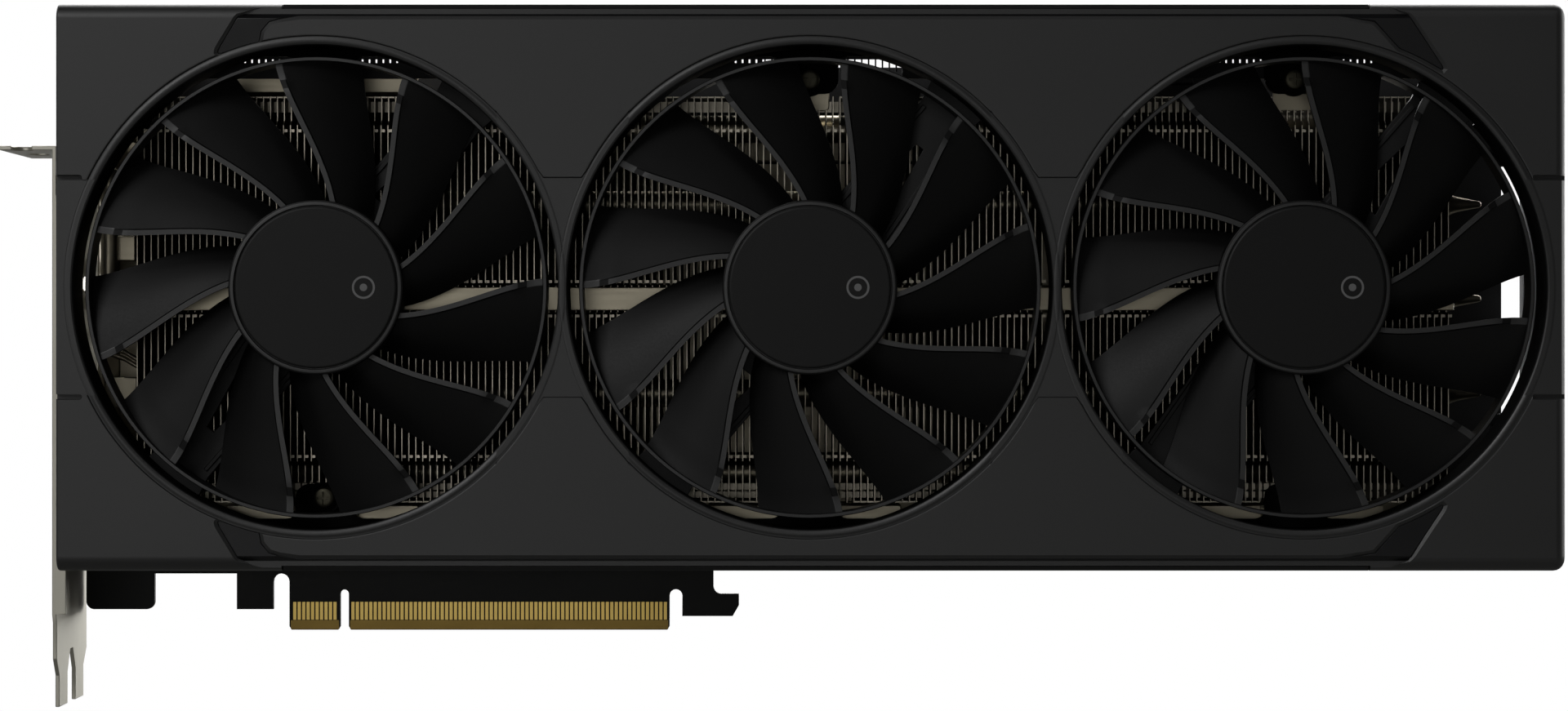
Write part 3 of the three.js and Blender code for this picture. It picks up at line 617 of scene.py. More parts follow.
    def combined(self, operation: str, others: Sequence[Shape]) -> Shape:
        """Join, cut or intersect with other closed shapes, one after another.

        Args:
            operation: The boolean's name.
            others: The other shapes.

        Returns:
            The result as a new shape.
        """
        made = []
        for shape in (self, *others):
            shape.closed()
            data = bpy.data.meshes.new("combining")
            shape.mesh.to_mesh(data)
            thing = bpy.data.objects.new("combining", data)
            bpy.context.scene.collection.objects.link(thing)
            made.append(thing)
        for other in made[1:]:
            modifier = made[0].modifiers.new("combine", "BOOLEAN")
            modifier.operation = operation
            modifier.object = other
            modifier.solver = "EXACT"
        result = Shape()
        evaluated = made[0].evaluated_get(bpy.context.evaluated_depsgraph_get())
        result.mesh.from_mesh(evaluated.to_mesh())
        evaluated.to_mesh_clear()
        for thing in made:
            data = thing.data
            bpy.data.objects.remove(thing)
            bpy.data.meshes.remove(data)
        bmesh.ops.remove_doubles(result.mesh, verts=result.mesh.verts, dist=1e-3)
        bmesh.ops.dissolve_degenerate(result.mesh, edges=result.mesh.edges, dist=1e-3)
        return result


FRONT_DEGREES = 9
EDGE_DEGREES = 40
EDGE_SEGMENTS = 2


def looks_to_front(face: bpy.types.MeshPolygon) -> bool:
    """Tell whether a face looks within a few degrees of straight to the front."""
    return face.normal.y < -math.cos(math.radians(FRONT_DEGREES))


@dataclass
class Piece:
    """A finished piece: its name, finish, body, slot (which nothing here reads) and the nodes it stands for.

    Some of its faces can take a second finish, a lighter or darker copy of the first that paints light or
    shade on them: those that look straight to the front, or those that another test picks.
    """

    name: str
    shape: Shape
    material: bpy.types.Material
    slot: str
    body: str = BODY
    replaces: Sequence[str] = ()
    edge_mm: float = 0.0
    smooth_degrees: float = 35.0
    second_material: bpy.types.Material | None = None
    takes_second: Callable[[bpy.types.MeshPolygon], bool] = looks_to_front

    def place(self) -> bpy.types.Object:
        """Make the piece's object and attach it to its body.

        Returns:
            The object, at the origin, with its place in its mesh.
        """
        shape = self.shape.closed()
        bmesh.ops.scale(shape.mesh, vec=(MM, MM, MM), verts=shape.mesh.verts)
        data = bpy.data.meshes.new(self.name)
        shape.mesh.to_mesh(data)
        shape.mesh.free()
        data.polygons.foreach_set("use_smooth", [True] * len(data.polygons))
        data.set_sharp_from_angle(angle=math.radians(self.smooth_degrees))
        thing = bpy.data.objects.new(self.name, data)
        bpy.context.scene.collection.objects.link(thing)
        data.materials.append(self.material)
        if self.second_material:
            data.materials.append(self.second_material)
            for face in data.polygons:
                face.material_index = int(self.takes_second(face))
        if self.edge_mm:
            bevel = thing.modifiers.new("edges", "BEVEL")
            bevel.width = self.edge_mm * MM
            bevel.segments = EDGE_SEGMENTS
            bevel.limit_method = "ANGLE"
            bevel.angle_limit = math.radians(EDGE_DEGREES)
        # Large flat faces keep their own direction beside small roundings.
        weighted = thing.modifiers.new("face_normals", "WEIGHTED_NORMAL")
        weighted.keep_sharp = True
        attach(thing, self.body)
        if self.replaces:
            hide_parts(*self.replaces)
        LOG.info("%s: %d faces on %s", self.name, len(data.polygons), self.body)
        return thing


def extent(node: str) -> tuple[Vector, Vector]:
    """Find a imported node's lowest and highest corners, in millimetres."""
    low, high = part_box(node)
    return low / MM, high / MM


def dress(node: str, material: bpy.types.Material) -> None:
    """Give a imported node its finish.

    Args:
        node: The node's name.
        material: The finish.
    """
    data = frame["nodes"][node].data
    data.materials.clear()
    data.materials.append(material)


# ------------------------------------------------------------------------------ studio


@dataclass
class Studio:
    """The camera, the lights, the pale world and the pale floor."""

    eye: Place = (0.0616, -0.923, 0.06147)
    aim: Place = (0.06, 0.0, 0.06)
    lens_mm: float = 94.5
    sensor_mm: float = 36.0
    bounce: float = 0.05
    floor_drop: float = 0.08
    floor_half: float = 60.0

    def camera(self) -> None:
        """Set the camera square to the card's face, level with its middle."""
        data = bpy.data.cameras.new("camera")
        data.lens = self.lens_mm
        data.sensor_width = self.sensor_mm
        data.clip_start = 0.05
        data.clip_end = 200.0
        thing = bpy.data.objects.new("camera", data)
        thing.location = self.eye
        thing.rotation_euler = (math.radians(90), 0, 0)
        bpy.context.scene.collection.objects.link(thing)
        bpy.context.scene.camera = thing

    def softbox(self, name: str, place: Place, size: Point, watts: float) -> None:
        """Hang one soft light that faces the card.

        Args:
            name: The light's name.
            place: Where it hangs, in metres.
            size: Its width and height, in metres.
            watts: Its power.
        """
        data = bpy.data.lights.new(name, "AREA")
        data.shape = "RECTANGLE"
        data.size, data.size_y = size
        data.energy = watts
        thing = bpy.data.objects.new(name, data)
        thing.location = place
        thing.rotation_euler = (Vector(self.aim) - Vector(place)).to_track_quat("-Z", "Y").to_euler()
        bpy.context.scene.collection.objects.link(thing)

    def world(self) -> None:
        """Give a white surround that lights the card only softly."""
        world = bpy.data.worlds.new("studio")
        bpy.context.scene.world = world
        world.use_nodes = True
        tree = world.node_tree
        tree.nodes.clear()
        seen = add_node(tree, "ShaderNodeLightPath").outputs["Is Camera Ray"]
        dim = add_node(tree, "ShaderNodeBackground", Color=linear("#ffffff"), Strength=self.bounce)
        white = add_node(tree, "ShaderNodeBackground", Color=linear("#ffffff"), Strength=1.0)
        mixed = add_node(
            tree, "ShaderNodeMixShader", _0=seen,
            _1=dim.outputs["Background"], _2=white.outputs["Background"],
        )
        add_node(tree, "ShaderNodeOutputWorld", Surface=mixed.outputs["Shader"])

    def floor(self) -> None:
        """Lay a plain pale floor below the card."""
        shape = Shape()
        bmesh.ops.create_grid(shape.mesh, x_segments=1, y_segments=1, size=self.floor_half)
        bmesh.ops.translate(shape.mesh, vec=(0, 0, cad_box[0].z - self.floor_drop), verts=shape.mesh.verts)
        data = bpy.data.meshes.new("floor")
        shape.mesh.to_mesh(data)
        material = bpy.data.materials.new("pale_floor")
        material.use_nodes = True
        tree = material.node_tree
        tree.nodes.clear()
        seen = add_node(tree, "ShaderNodeLightPath").outputs["Is Camera Ray"]
        matt = add_node(tree, "ShaderNodeBsdfDiffuse", Color=linear("#6e6e6c"), Roughness=0.9)
        pale = add_node(tree, "ShaderNodeEmission", Color=linear("#ffffff"), Strength=1.0)
        mixed = add_node(
            tree, "ShaderNodeMixShader", _0=seen, _1=matt.outputs["BSDF"], _2=pale.outputs["Emission"],
        )
        add_node(tree, "ShaderNodeOutputMaterial", Surface=mixed.outputs["Shader"])
        data.materials.append(material)
        thing = bpy.data.objects.new("floor", data)
        bpy.context.scene.collection.objects.link(thing)

    def build(self) -> None:
        """Set up everything round the card."""
        bpy.context.scene.view_settings.view_transform = "Standard"
        self.camera()
        self.world()
        self.floor()
        self.softbox("overhead", (0.0, 1.25, 1.3), (2.0, 0.7), 26.0)
        # The key lights the fan side; the ridge only catches the upper roundings, and the low
        # front light only the gold.
        self.softbox("key", (-1.05, -1.85, 1.2), (1.1, 0.9), 19.6)
        self.softbox("ridge", (0.06, -0.9, 1.5), (2.2, 0.25), 1.6)
        self.softbox("front", (-0.25, -1.6, 0.04), (0.9, 0.24), 1.1)
        self.softbox("back", (0.4, 1.8, 0.6), (2.4, 1.2), 50.0)
        self.softbox("left", (-1.5, 1.5, 0.5), (1.0, 1.0), 12.0)
        self.softbox("right", (2.1, 0.7, 0.5), (1.0, 1.0), 16.0)


# ------------------------------------------------------------------------------ fans


@dataclass(frozen=True)
class FanPlace:
    """Where one fan stands, and how its blades lie at rest."""

    side: str
    centre: Vector
    ring_angle: float

    def along_arm(self, degrees: float, reach: float) -> Vector:
        """Find the point at a direction and a distance from the fan's axis."""
        turn = math.radians(degrees)
        return self.centre + Vector((reach * math.cos(turn), 0, reach * math.sin(turn)))


# How far each wheel's first blade is turned at rest, in degrees.
RING_ANGLES = {"left": 2.3, "centre": 16.5, "right": 25.0}


def fan_places() -> list[FanPlace]:
    """Find the fans from the joints of the frame.

    Returns:
        The three fans from left to right.
    """
    found = []
    for joint in frame["joints"]:
        side = joint["name"].split("_")[0]
        spot = Vector(joint["pos_m"]) / MM
        found.append(FanPlace(side, Vector((spot.x, 0, spot.z)), RING_ANGLES[side]))
    return sorted(found, key=lambda fan: fan.centre.x)


@dataclass
class FanWheel:
    """A ringed fan wheel with a flat hub cap."""

    finishes: Finishes
    blades: int = 11
    ring: Point = (49.1, 48.2)
    ring_y: Point = (-48.0, -40.2)
    hub_outer: float = 18.6
    hub_inner: float = 17.4
    cap_radius: float = 17.3
    hub_y: Point = (-49.0, -40.6)
    mark_reach: float = 10.2
    blade_reach: Point = (18.1, 48.6)
    sweep: float = 20.0
    chords: Point = (28.0, 21.5)
    blade_y: float = -47.6
    band_mm: float = 1.15
    tip_step: float = 0.83
    tip_drop: float = 0.55
    sweep_power: float = 1.8
    land_drop: float = 0.45
    land_slope_mm: float = 0.3
    twist_drop: float = 5.6
    camber: float = 0.13
    root_thick: float = 1.25
    edge_thin: float = 0.5
    columns: int = 9
    rows: int = 16

    def chord_at(self, outward: float) -> tuple[float, float, float]:
        """Find a blade's chord at a place along it.

        Args:
            outward: The place, from 0 at the root to 1 at the ring.

        Returns:
            The radius there, the chord in degrees and the chord in millimetres.
        """
        inner, outer = self.blade_reach
        radius = inner + (outer - inner) * outward
        chord = self.chords[0] + (self.chords[1] - self.chords[0]) * outward
        return radius, chord, math.radians(chord) * radius

    def blade_point(self, outward: float, along: float, rear: bool) -> Place:
        """Place one point of a blade.

        Args:
            outward: From 0 at the hub to 1 at the ring.
            along: From 0 at the leading edge to 1 at the trailing edge.
            rear: Whether it is on the rear surface.

        Returns:
            The point's radius, its angle in degrees from the blade's ring angle, and its y.
        """
        radius, chord, chord_mm = self.chord_at(outward)
        lead = -self.sweep * (1 - outward) ** self.sweep_power
        lowered = self.tip_drop if outward > self.tip_step else 0.0
        travelled = along * chord_mm
        front = self.blade_y + lowered
        if travelled > self.band_mm:
            slope = self.land_slope_mm
            fall = min((travelled - self.band_mm) / slope, 1.0)
            rest = max((travelled - self.band_mm - slope) / (chord_mm - self.band_mm - slope), 0.0)
            cambered = rest - self.camber * math.sin(math.pi * rest)
            front = self.blade_y + max(lowered, self.land_drop * fall) + self.twist_drop * cambered
        thick = self.root_thick - self.edge_thin * along
        return radius, lead - chord * along, front + (thick if rear else 0.0)

    def blade(self) -> Shape:
        """Shape one blade at angle zero: a grid for each side, carried onto the blade.

        Returns:
            The blade, centred on the origin.
        """
        shape = Shape()
        steps = self.columns + 2
        bmesh.ops.create_grid(shape.mesh, x_segments=self.rows, y_segments=steps, size=0.5)
        made = bmesh.ops.extrude_face_region(shape.mesh, geom=list(shape.mesh.faces))["geom"]
        raised = {item for item in made if isinstance(item, bmesh.types.BMVert)}
        for vert in shape.mesh.verts:
            outward = vert.co.x + 0.5
            step = round((vert.co.y + 0.5) * steps)
            chord_mm = self.chord_at(outward)[2]
            ledge = (self.band_mm + self.land_slope_mm) / chord_mm
            starts = (0.0, self.band_mm / chord_mm, ledge)
            along = starts[step] if step < 3 else ledge + (1 - ledge) * (step - 2) / self.columns
            radius, degrees, y = self.blade_point(outward, along, vert not in raised)
            turn = math.radians(degrees)
            vert.co = Vector((radius * math.cos(turn), y, radius * math.sin(turn)))
        return shape

    def wheel(self, fan: FanPlace) -> Shape:
        """Shape the hub, the ring and the blades.

        Args:
            fan: Where the wheel stands.

        Returns:
            The wheel.
        """
        blades = self.blade()
        turns = [Matrix.Rotation(-2 * math.pi * i / self.blades, 4, "Y") for i in range(1, self.blades)]
        blades.copies(turns)
        blades.bend(lambda co: Matrix.Rotation(-math.radians(fan.ring_angle), 3, "Y") @ co)
        blades.bend(lambda co: co + fan.centre)
        front, rear = self.hub_y
        seat = front + 1.0
        hub = Shape().turned(
            [(0, seat), (self.cap_radius + 0.1, seat), (self.cap_radius + 0.1, front + 0.12),
             (self.cap_radius + 0.25, front), (self.hub_outer - 0.45, front),
             (self.hub_outer - 0.12, front + 0.14), (self.hub_outer, front + 0.5),
             (self.hub_outer, rear), (self.hub_inner, rear),
             (self.hub_inner, front + 2.2), (3.2, front + 2.2), (3.2, front + 3.8), (1.56, front + 3.8),
             (1.56, front + 1.7), (0, front + 1.7)],
            fan.centre, 96,
        )
        outer, inner = self.ring
        near, far = self.ring_y
        rim = Shape().turned(
            [(inner, near + 0.15), (inner + 0.15, near), (outer - 0.15, near), (outer, near + 0.15),
             (outer, far), (inner, far)],
            fan.centre, 132,
        )
        return hub.joined(rim, blades)

    def cap(self, fan: FanPlace) -> Shape:
        """Shape the hub cap, with a fine rounded edge.

        Args:
            fan: Where the wheel stands.

        Returns:
            The cap.
        """
        front = self.hub_y[0] - 0.1
        edge = self.cap_radius - 0.1
        return Shape().turned(
            [(0, front), (edge - 0.5, front), (edge - 0.2, front + 0.06), (edge, front + 0.25),
             (edge, front + 0.75), (0, front + 0.75)],
            fan.centre, 96,
        )

    def mark(self, fan: FanPlace) -> Shape:
        """Shape a plain ring and dot of ink, a generic sign on the cap.

        Args:
            fan: Where the wheel stands.

        Returns:
            The ring and the dot.
        """
        spot = fan.centre + Vector((self.mark_reach, 0, 0))
        top = self.hub_y[0] - 0.13
        ring = Shape().turned([(2.0, top), (2.45, top), (2.45, top + 0.1), (2.0, top + 0.1)], spot, 40)
        return ring.turned([(0, top), (0.8, top), (0.8, top + 0.1), (0, top + 0.1)], spot, 24)

    def build(self, fan: FanPlace) -> None:
        """Make one fan's moving pieces.

        Args:
            fan: Where the fan stands.
        """
        body = f"{fan.side}_fan_wheel"
        name = f"fan_{fan.side}"
        # The wheel's front-facing faces take the paler copy of its plastic: a painted sheen.
        Piece(
            f"{name}_wheel", self.wheel(fan), self.finishes.fan, "fan_plastic", body,
            [f"{name}_rotor"], smooth_degrees=28, second_material=self.finishes.fan_front_sheen,
        ).place()
        Piece(
            f"{name}_hub_cap", self.cap(fan), self.finishes.cap, "cap_plastic", body, [f"{name}_cap"],
        ).place()
        Piece(f"{name}_cap_mark", self.mark(fan), self.finishes.ink, "cap_plastic", body).place()
        dress(f"{name}_magnet_ring", self.finishes.ferrite)
        dress(f"{name}_shaft", self.finishes.steel)


@dataclass
class FanFrame:
    """The fixed bridge behind a wheel, with its motor."""

    finishes: Finishes
    front: float = -39.4
    rear: float = -37.4
    base_radius: float = 16.8
    foot: float = 58.8
    motor_screw_reach: float = 42.5
    screw_radii: Point = (1.9, 1.3)

    def arm(self, fan: FanPlace, degrees: float) -> Shape:
        """Shape one broad arm with its triangular lightening hole.

        Args:
            fan: Where the fan stands.
            degrees: The arm's direction.

        Returns:
            The arm.
        """
        turn = Matrix.Rotation(math.radians(degrees), 2)

        def lay(points: Sequence[Point]) -> list[Point]:
            """Turn an outline along the arm and move it to the fan."""
            spots = [turn @ Vector(point) for point in points]
            return [(fan.centre.x + s.x, fan.centre.z + s.y) for s in spots]

        tip = [(self.foot - 0.8, 4.6), (self.foot, 3.2)]
        half = [(12, 8.2), (30, 6.6), (47, 6.0), (52, 7.0), (56, 6.4), *tip]
        outline = [(x, -z) for x, z in half] + half[::-1]
        hole = [(22.5, -3.3), (38.5, -0.9), (38.5, 0.9), (22.5, 3.3)]
        rib = [(14, -7.0), (46, -5.0), (46, -4.2), (14, -6.0)]
        shape = Shape().slab(lay(outline), self.front, self.rear)
        shape = shape.carved(Shape().slab(lay(hole), self.front - 1, self.rear + 1))
        ribs = [lay(rib), lay([(x, -z) for x, z in rib[::-1]])]
        return shape.joined(*[Shape().slab(r, self.front - 0.5, self.front + 0.5) for r in ribs])

    def build(self, fan: FanPlace) -> None:
        """Make one fan's fixed pieces.

        Args:
            fan: Where the fan stands.
        """
        name = f"fan_{fan.side}"
        base = Shape().turned(
            [(0, -38.2), (3.3, -38.2), (3.3, -45.4), (4.4, -45.4), (4.4, self.front),
             (self.base_radius - 0.3, self.front), (self.base_radius, self.front + 0.3),
             (self.base_radius, self.rear), (0, self.rear)],
            fan.centre, 64,
        )
        arms = [self.arm(fan, degrees) for degrees in ARM_DEGREES]
        Piece(
            f"{name}_bridge", base.joined(*arms), self.finishes.nylon, "frame_plastic", BODY,
            [f"{name}_frame"], edge_mm=0.2,
        ).place()
        screws = Shape()
        for degrees in ARM_DEGREES:
            for reach, size in zip((ARM_SCREW_REACH, self.motor_screw_reach), self.screw_radii):
                spot = fan.along_arm(degrees, reach)
                screws.turned(
                    [(0, self.rear + 0.8), (size, self.rear + 0.8), (size, self.rear + 0.25),
                     (size * 0.8, self.rear), (0, self.rear)], spot, 20,
                )
        Piece(f"{name}_bridge_screws", screws, self.finishes.screw, "screw_steel").place()
        dress(f"{name}_stator", self.finishes.copper)
        dress(f"{name}_bearing", self.finishes.bronze)
        dress(f"{name}_motor_board", self.finishes.board)


# ------------------------------------------------------------------------------ shroud


@dataclass
class Shroud:
    """The moulded shell with its three openings, and the two trims on its long edges."""

    finishes: Finishes
    fans: list[FanPlace]
    face_thick: float = 2.6
    wall: float = 2.6
    opening: float = 51.5
    duct_rear: float = -36.8
    duct_wall: Point = (0.5, 1.5)
    duct_start: float = 0.8
    side_wall_rear: float = -27.0
    side_gap_x: Point = (-78.0, 206.5)
    left_gap_z: Point = (26.0, 126.0)
    left_gap_front: float = -38.0
    arm_gap_degrees: float = 9.0
    arm_gap_reach: Point = (50.0, 56.0)
    boss_rear: float = -39.7
    boss_radius: float = 3.0
    flange: Point = (26.1, 126.3)
    tab_y: Point = (-31.6, -29.6)
    tab_half: float = 6.3
    tab_reach: float = 3.0
    tab_rounds: Point = (1.8, 3.0)
    right_window: Place = (218.5, 48.5, 103.4)
    end_wall_rear: float = -8.6
    step: float = 0.4
    step_radius: float = 53.4
    step_half: float = 23.2
    step_slope: float = 48.4
    web_degrees: float = 44.0
    web_round: float = 0.9
    end_reach: float = 40.0
    trim_thick: float = 1.0
    trim_gap: float = 0.15
    trim_rear: float = -39.0
    rail_x: Point = (-45.0, 186.0)
    left_lip: Place = (53.5, 113.6, 102.9)
    right_lip: Place = (54.6, 68.4, 56.5)
    trim_inner: tuple[Point, ...] = (
        (-49.4, 54.4), (-47.7, 56.4), (-45.3, 57.1), (-41.2, 57.7), (179.4, 57.7), (187.0, 56.5),
    )
    trim_outer: tuple[Point, ...] = (
        (194.0, 57.9), (190.3, 59.4), (186.0, 60.4), (-45.0, 60.4), (-51.2, 58.9), (-54.1, 57.6),
    )
    circle_steps: int = 144
    long_round: float = 3.2
    left_round: float = 0.6
    right_round: float = 2.3
    pocket_round: float = 1.0
    pocket_y: Point = (-0.2, 0.45)
    wing_x: Point = (-43.0, 181.0)
    wing_edge: float = 60.5
    wing_slope: float = 0.1
    wing_skin: float = 0.05
    tip_reach: float = 2.4
    groove_reach: Point = (5.4, 7.1)
    groove_half: float = 0.5
    groove_depth: float = 1.9
    lug_y: Point = (-29.4, -28.6)
    lug_half: float = 4.3
    lug_z: Point = (-6.6, 3.0)
    screw_radii: Point = (2.25, 1.2)
    comb_pitch: float = 1.5
    comb_clear: float = 5.2
    comb_window: float = 0.38
    comb_z: tuple[float, ...] = (121.6, 125.0, 125.8, 127.6)
    comb_slat: float = 0.35
    open_x: Point = (56.0, 86.0)
    low: Vector = field(init=False)
    high: Vector = field(init=False)

    def __post_init__(self) -> None:
        """Take the shell's outer size from the frame."""
        self.low, self.high = extent("shroud_shell")
        self.front = self.low.y
        self.middle = (self.low.z + self.high.z) / 2

    def envelope(self, chamfered: bool = False) -> Shape:
        """Shape the outer block with its rounded front edges and corners.

        Args:
            chamfered: Whether its long front edges are flat chamfers instead of round.

        Returns:
            The block.
        """
        shape = Shape().block(self.low, self.high)
        mesh = shape.mesh

        def lies_at(edge: bmesh.types.BMEdge, axis: int, value: float) -> bool:
            """Tell whether a whole edge lies at one coordinate."""
            return all(abs(vert.co[axis] - value) < 0.01 for vert in edge.verts)

        def is_long(edge: bmesh.types.BMEdge) -> bool:
            """Tell whether an edge runs along the card."""
            start, end = (vert.co for vert in edge.verts)
            return abs(start.x - end.x) > 1 and (start - end).yz.length < 0.01

        long_edges = [edge for edge in mesh.edges if is_long(edge) and lies_at(edge, 1, self.front)]
        shape.bevel(long_edges, self.long_round, 1 if chamfered else 8)
        for x, radius in ((self.low.x, self.left_round), (self.high.x, self.right_round)):
            ends = [
                edge for edge in mesh.edges
                if lies_at(edge, 0, x) and not lies_at(edge, 1, self.high.y)
            ]
            shape.bevel(ends, radius, 5)
        return shape

    def trim_outline(self) -> list[Point]:
        """Draw the upper trim: a long rail with a wing at each end, and soft wing tips.

        Returns:
            The outline, which starts at the left wing's tip.
        """
        left, right = self.fans[0].centre, self.fans[-1].centre
        inner = [(x, z + self.middle) for x, z in self.trim_inner]
        outer = [(x, z + self.middle) for x, z in self.trim_outer]
        left_lip = arc((left.x, left.z), *self.left_lip, 4)
        right_lip = arc((right.x, right.z), *self.right_lip, 4)
        upto_tip = left_lip + inner + right_lip
        outline = softened(upto_tip + outer, len(upto_tip) - 1, self.tip_reach)
        return softened(outline, 0, self.tip_reach)

    def flip(self, points: Sequence[Point]) -> list[Point]:
        """Mirror an outline about the shroud's middle height, kept counter-clockwise."""
        return [(x, 2 * self.middle - z) for x, z in points][::-1]

    def trim_blank(self, upper: bool, margin: float) -> Shape:
        """Shape a trim, or the pocket that it lies in.

        Args:
            upper: Whether it is the upper one.
            margin: How much larger than the trim it is.

        Returns:
            The blank, which still stands out of the envelope.
        """
        outline = self.trim_outline()
        if not upper:
            outline = self.flip(outline)
        depth = self.trim_thick + margin
        face = Shape().slab(grow(outline, margin), self.front - 1, self.front + depth)
        bottom, top = self.low.z - 1, self.low.z + depth
        if upper:
            bottom, top = self.high.z - depth, self.high.z + 1
        left, right = self.rail_x
        rail = Shape().block(
            (left - margin, self.front - 1, bottom), (right + margin, self.trim_rear + margin, top),
        )
        if not margin:
            return face.joined(rail)
        near, far = (self.front + y for y in self.pocket_y)
        rim = Shape().slab(grow(outline, margin), near, far, grow(outline, margin + self.pocket_round))
        return face.joined(rail, rim)

    def surround_cutter(self, fan: FanPlace) -> Shape:
        """Shape what is cut from the face round one fan: the step, a low lip and the opening.

        Args:
            fan: Where the fan stands.

        Returns:
            The cutter.
        """
        y = self.front
        outer = self.step_radius
        profile = [
            (0, y - 1), (outer + 0.5, y - 1), (outer + 0.5, y - 0.02), (outer + 0.15, y + 0.08),
            (outer, y + 0.3), (outer - 0.05, y + 0.5), (outer - 0.35, y + 0.5), (outer - 0.55, y + 0.38),
            (outer - 0.9, y + 0.33), (self.opening + 0.55, y + 0.38), (self.opening + 0.2, y + 0.6),
            (self.opening, y + 1.1), (self.opening, self.duct_rear + 1), (0, self.duct_rear + 1),
        ]
        return Shape().turned(profile, fan.centre, self.circle_steps)

    def web_cutter(self, left: FanPlace, right: FanPlace) -> Shape:
        """Shape what is cut for the low web between two fans, with slanted sides.

        Args:
            left: The left one of the fans.
            right: The right one.

        Returns:
            The cutter.
        """
        reach = self.step_radius + 0.1
        near, far = left.centre.x, right.centre.x
        upper = [
            on_circle((near, self.middle), reach, self.web_degrees),
            (near + self.step_slope, self.middle + self.step_half),
            (far - self.step_slope, self.middle + self.step_half),
            on_circle((far, self.middle), reach, 180 - self.web_degrees),
        ]
        outline = (upper + self.flip(upper))[::-1]
        wider = grow(outline, self.web_round)
        return Shape().slab(outline, self.front - 1, self.front + self.step, wider)

    def end_cutters(self) -> list[Shape]:
        """Shape what lowers the face to the web's level at both ends, between the grooves.

        Returns:
            The cutters.
        """
        half = self.step_half - 0.3
        bottom, top = self.middle - half, self.middle + half
        left = (self.low.x - 1, self.fans[0].centre.x - self.end_reach)
        right = (self.fans[-1].centre.x + self.end_reach, self.high.x + 1)
        return [
            Shape().block((near, self.front - 1, bottom), (far, self.front + self.step, top))
            for near, far in (left, right)
        ]

    def shell(self, envelope: Shape) -> Shape:
        """Cut and join the shell.

        Args:
            envelope: The outer block.

        Returns:
            The finished shell.
        """
        low, high, y = self.low, self.high, self.front
        cavity = Shape().block(
            (low.x + self.wall, y + self.face_thick, low.z + self.wall),
            (high.x - self.wall, 0, high.z - self.wall),
        )
        gap_left, gap_right = self.side_gap_x
        sides = Shape().slab(
            rounded((gap_left, low.z - 1), (gap_right, high.z + 1), 0.5, 1), self.side_wall_rear, 0,
        )
        left_end = Shape().block(
            (low.x - 1, self.left_gap_front, self.left_gap_z[0]),
            (low.x + self.wall + 1, 0, self.left_gap_z[1]),
        )
        shell = envelope.carved(cavity, sides, left_end)
        inner, outer = self.opening - self.duct_wall[0], self.opening + self.duct_wall[1]
        start, end = y + self.face_thick - 0.2, self.duct_rear
        profile = [(inner, start), (outer, start), (outer, end), (inner, end)]
        ducts = [Shape().turned(profile, fan.centre, self.circle_steps) for fan in self.fans]
        gaps, bosses = [], []
        radius, rear = self.boss_radius, self.boss_rear
        boss = [(0, start), (radius, start), (radius, rear), (0, rear)]
        near, far = self.arm_gap_reach
        for fan in self.fans:
            centre = (fan.centre.x, fan.centre.z)
            for degrees in ARM_DEGREES:
                bosses.append(Shape().turned(boss, fan.along_arm(degrees, ARM_SCREW_REACH), 24))
                first, last = degrees - self.arm_gap_degrees, degrees + self.arm_gap_degrees
                outline = arc(centre, near, last, first, 6) + arc(centre, far, first, last, 6)
                gaps.append(Shape().slab(outline, self.boss_rear, self.duct_rear + 1))
        shell = shell.joined(*ducts, *self.inner_flanges()).carved(*gaps).joined(*bosses)
        webs = [self.web_cutter(a, b) for a, b in zip(self.fans, self.fans[1:])]
        shell = shell.carved(*webs, *self.end_cutters())
        shell = shell.carved(*[self.surround_cutter(fan) for fan in self.fans])
        cutters = self.end_grooves()
        cutters += [self.trim_blank(True, self.trim_gap), self.trim_blank(False, self.trim_gap)]
        return shell.carved(*cutters)

    def inner_flanges(self) -> list[Shape]:
        """Shape the flange inside each long wall, its screw tabs and the closed right corners.

        Returns:
            The pieces that join the shell.
        """
        front, rear = self.tab_y
        left, right = self.low.x + 1, self.high.x - 1
        small, large = self.tab_rounds
        floor, wall = self.low.z + self.wall - 0.3, self.high.z - self.wall + 0.3
        lower_screw, upper_screw = self.screws()[:2]
        made = []
        for upper in (True, False):
            # The lower flange is drawn mirrored, as an upper one, and then flipped.
            edge = self.flange[1] if upper else 2 * self.middle - self.flange[0]
            tip = (upper_screw.z if upper else 2 * self.middle - lower_screw.z) - self.tab_reach
            outline = [(left, edge)]
            for fan in self.fans:
                near, far = fan.centre.x - self.tab_half, fan.centre.x + self.tab_half
                outline += arc((near - small, edge - small), small, 90, 0, 4)
                outline += arc((near + large, tip + large), large, 180, 270, 5)
                outline += arc((far - large, tip + large), large, 270, 360, 5)
                outline += arc((far + small, edge - small), small, 180, 90, 4)
            outline += [(right, edge), (right, wall), (left, wall)]
            made.append(Shape().slab(outline if upper else self.flip(outline), front, rear))
        for spot in self.screws():
            made.append(Shape().turned(
                [(1.7, rear - 0.8), (3.6, rear - 0.8), (3.6, front - 0.9), (3.1, front - 0.9),
                 (3.1, front + 0.1), (1.7, front + 0.1)], spot, 32,
            ))
        x, low, high = self.right_window
        back = (self.end_wall_rear - 2, self.end_wall_rear)
        made.append(Shape().block((x, back[0], floor), (right, back[1], low)))
        made.append(Shape().block((x, back[0], high), (right, back[1], wall)))
        return made

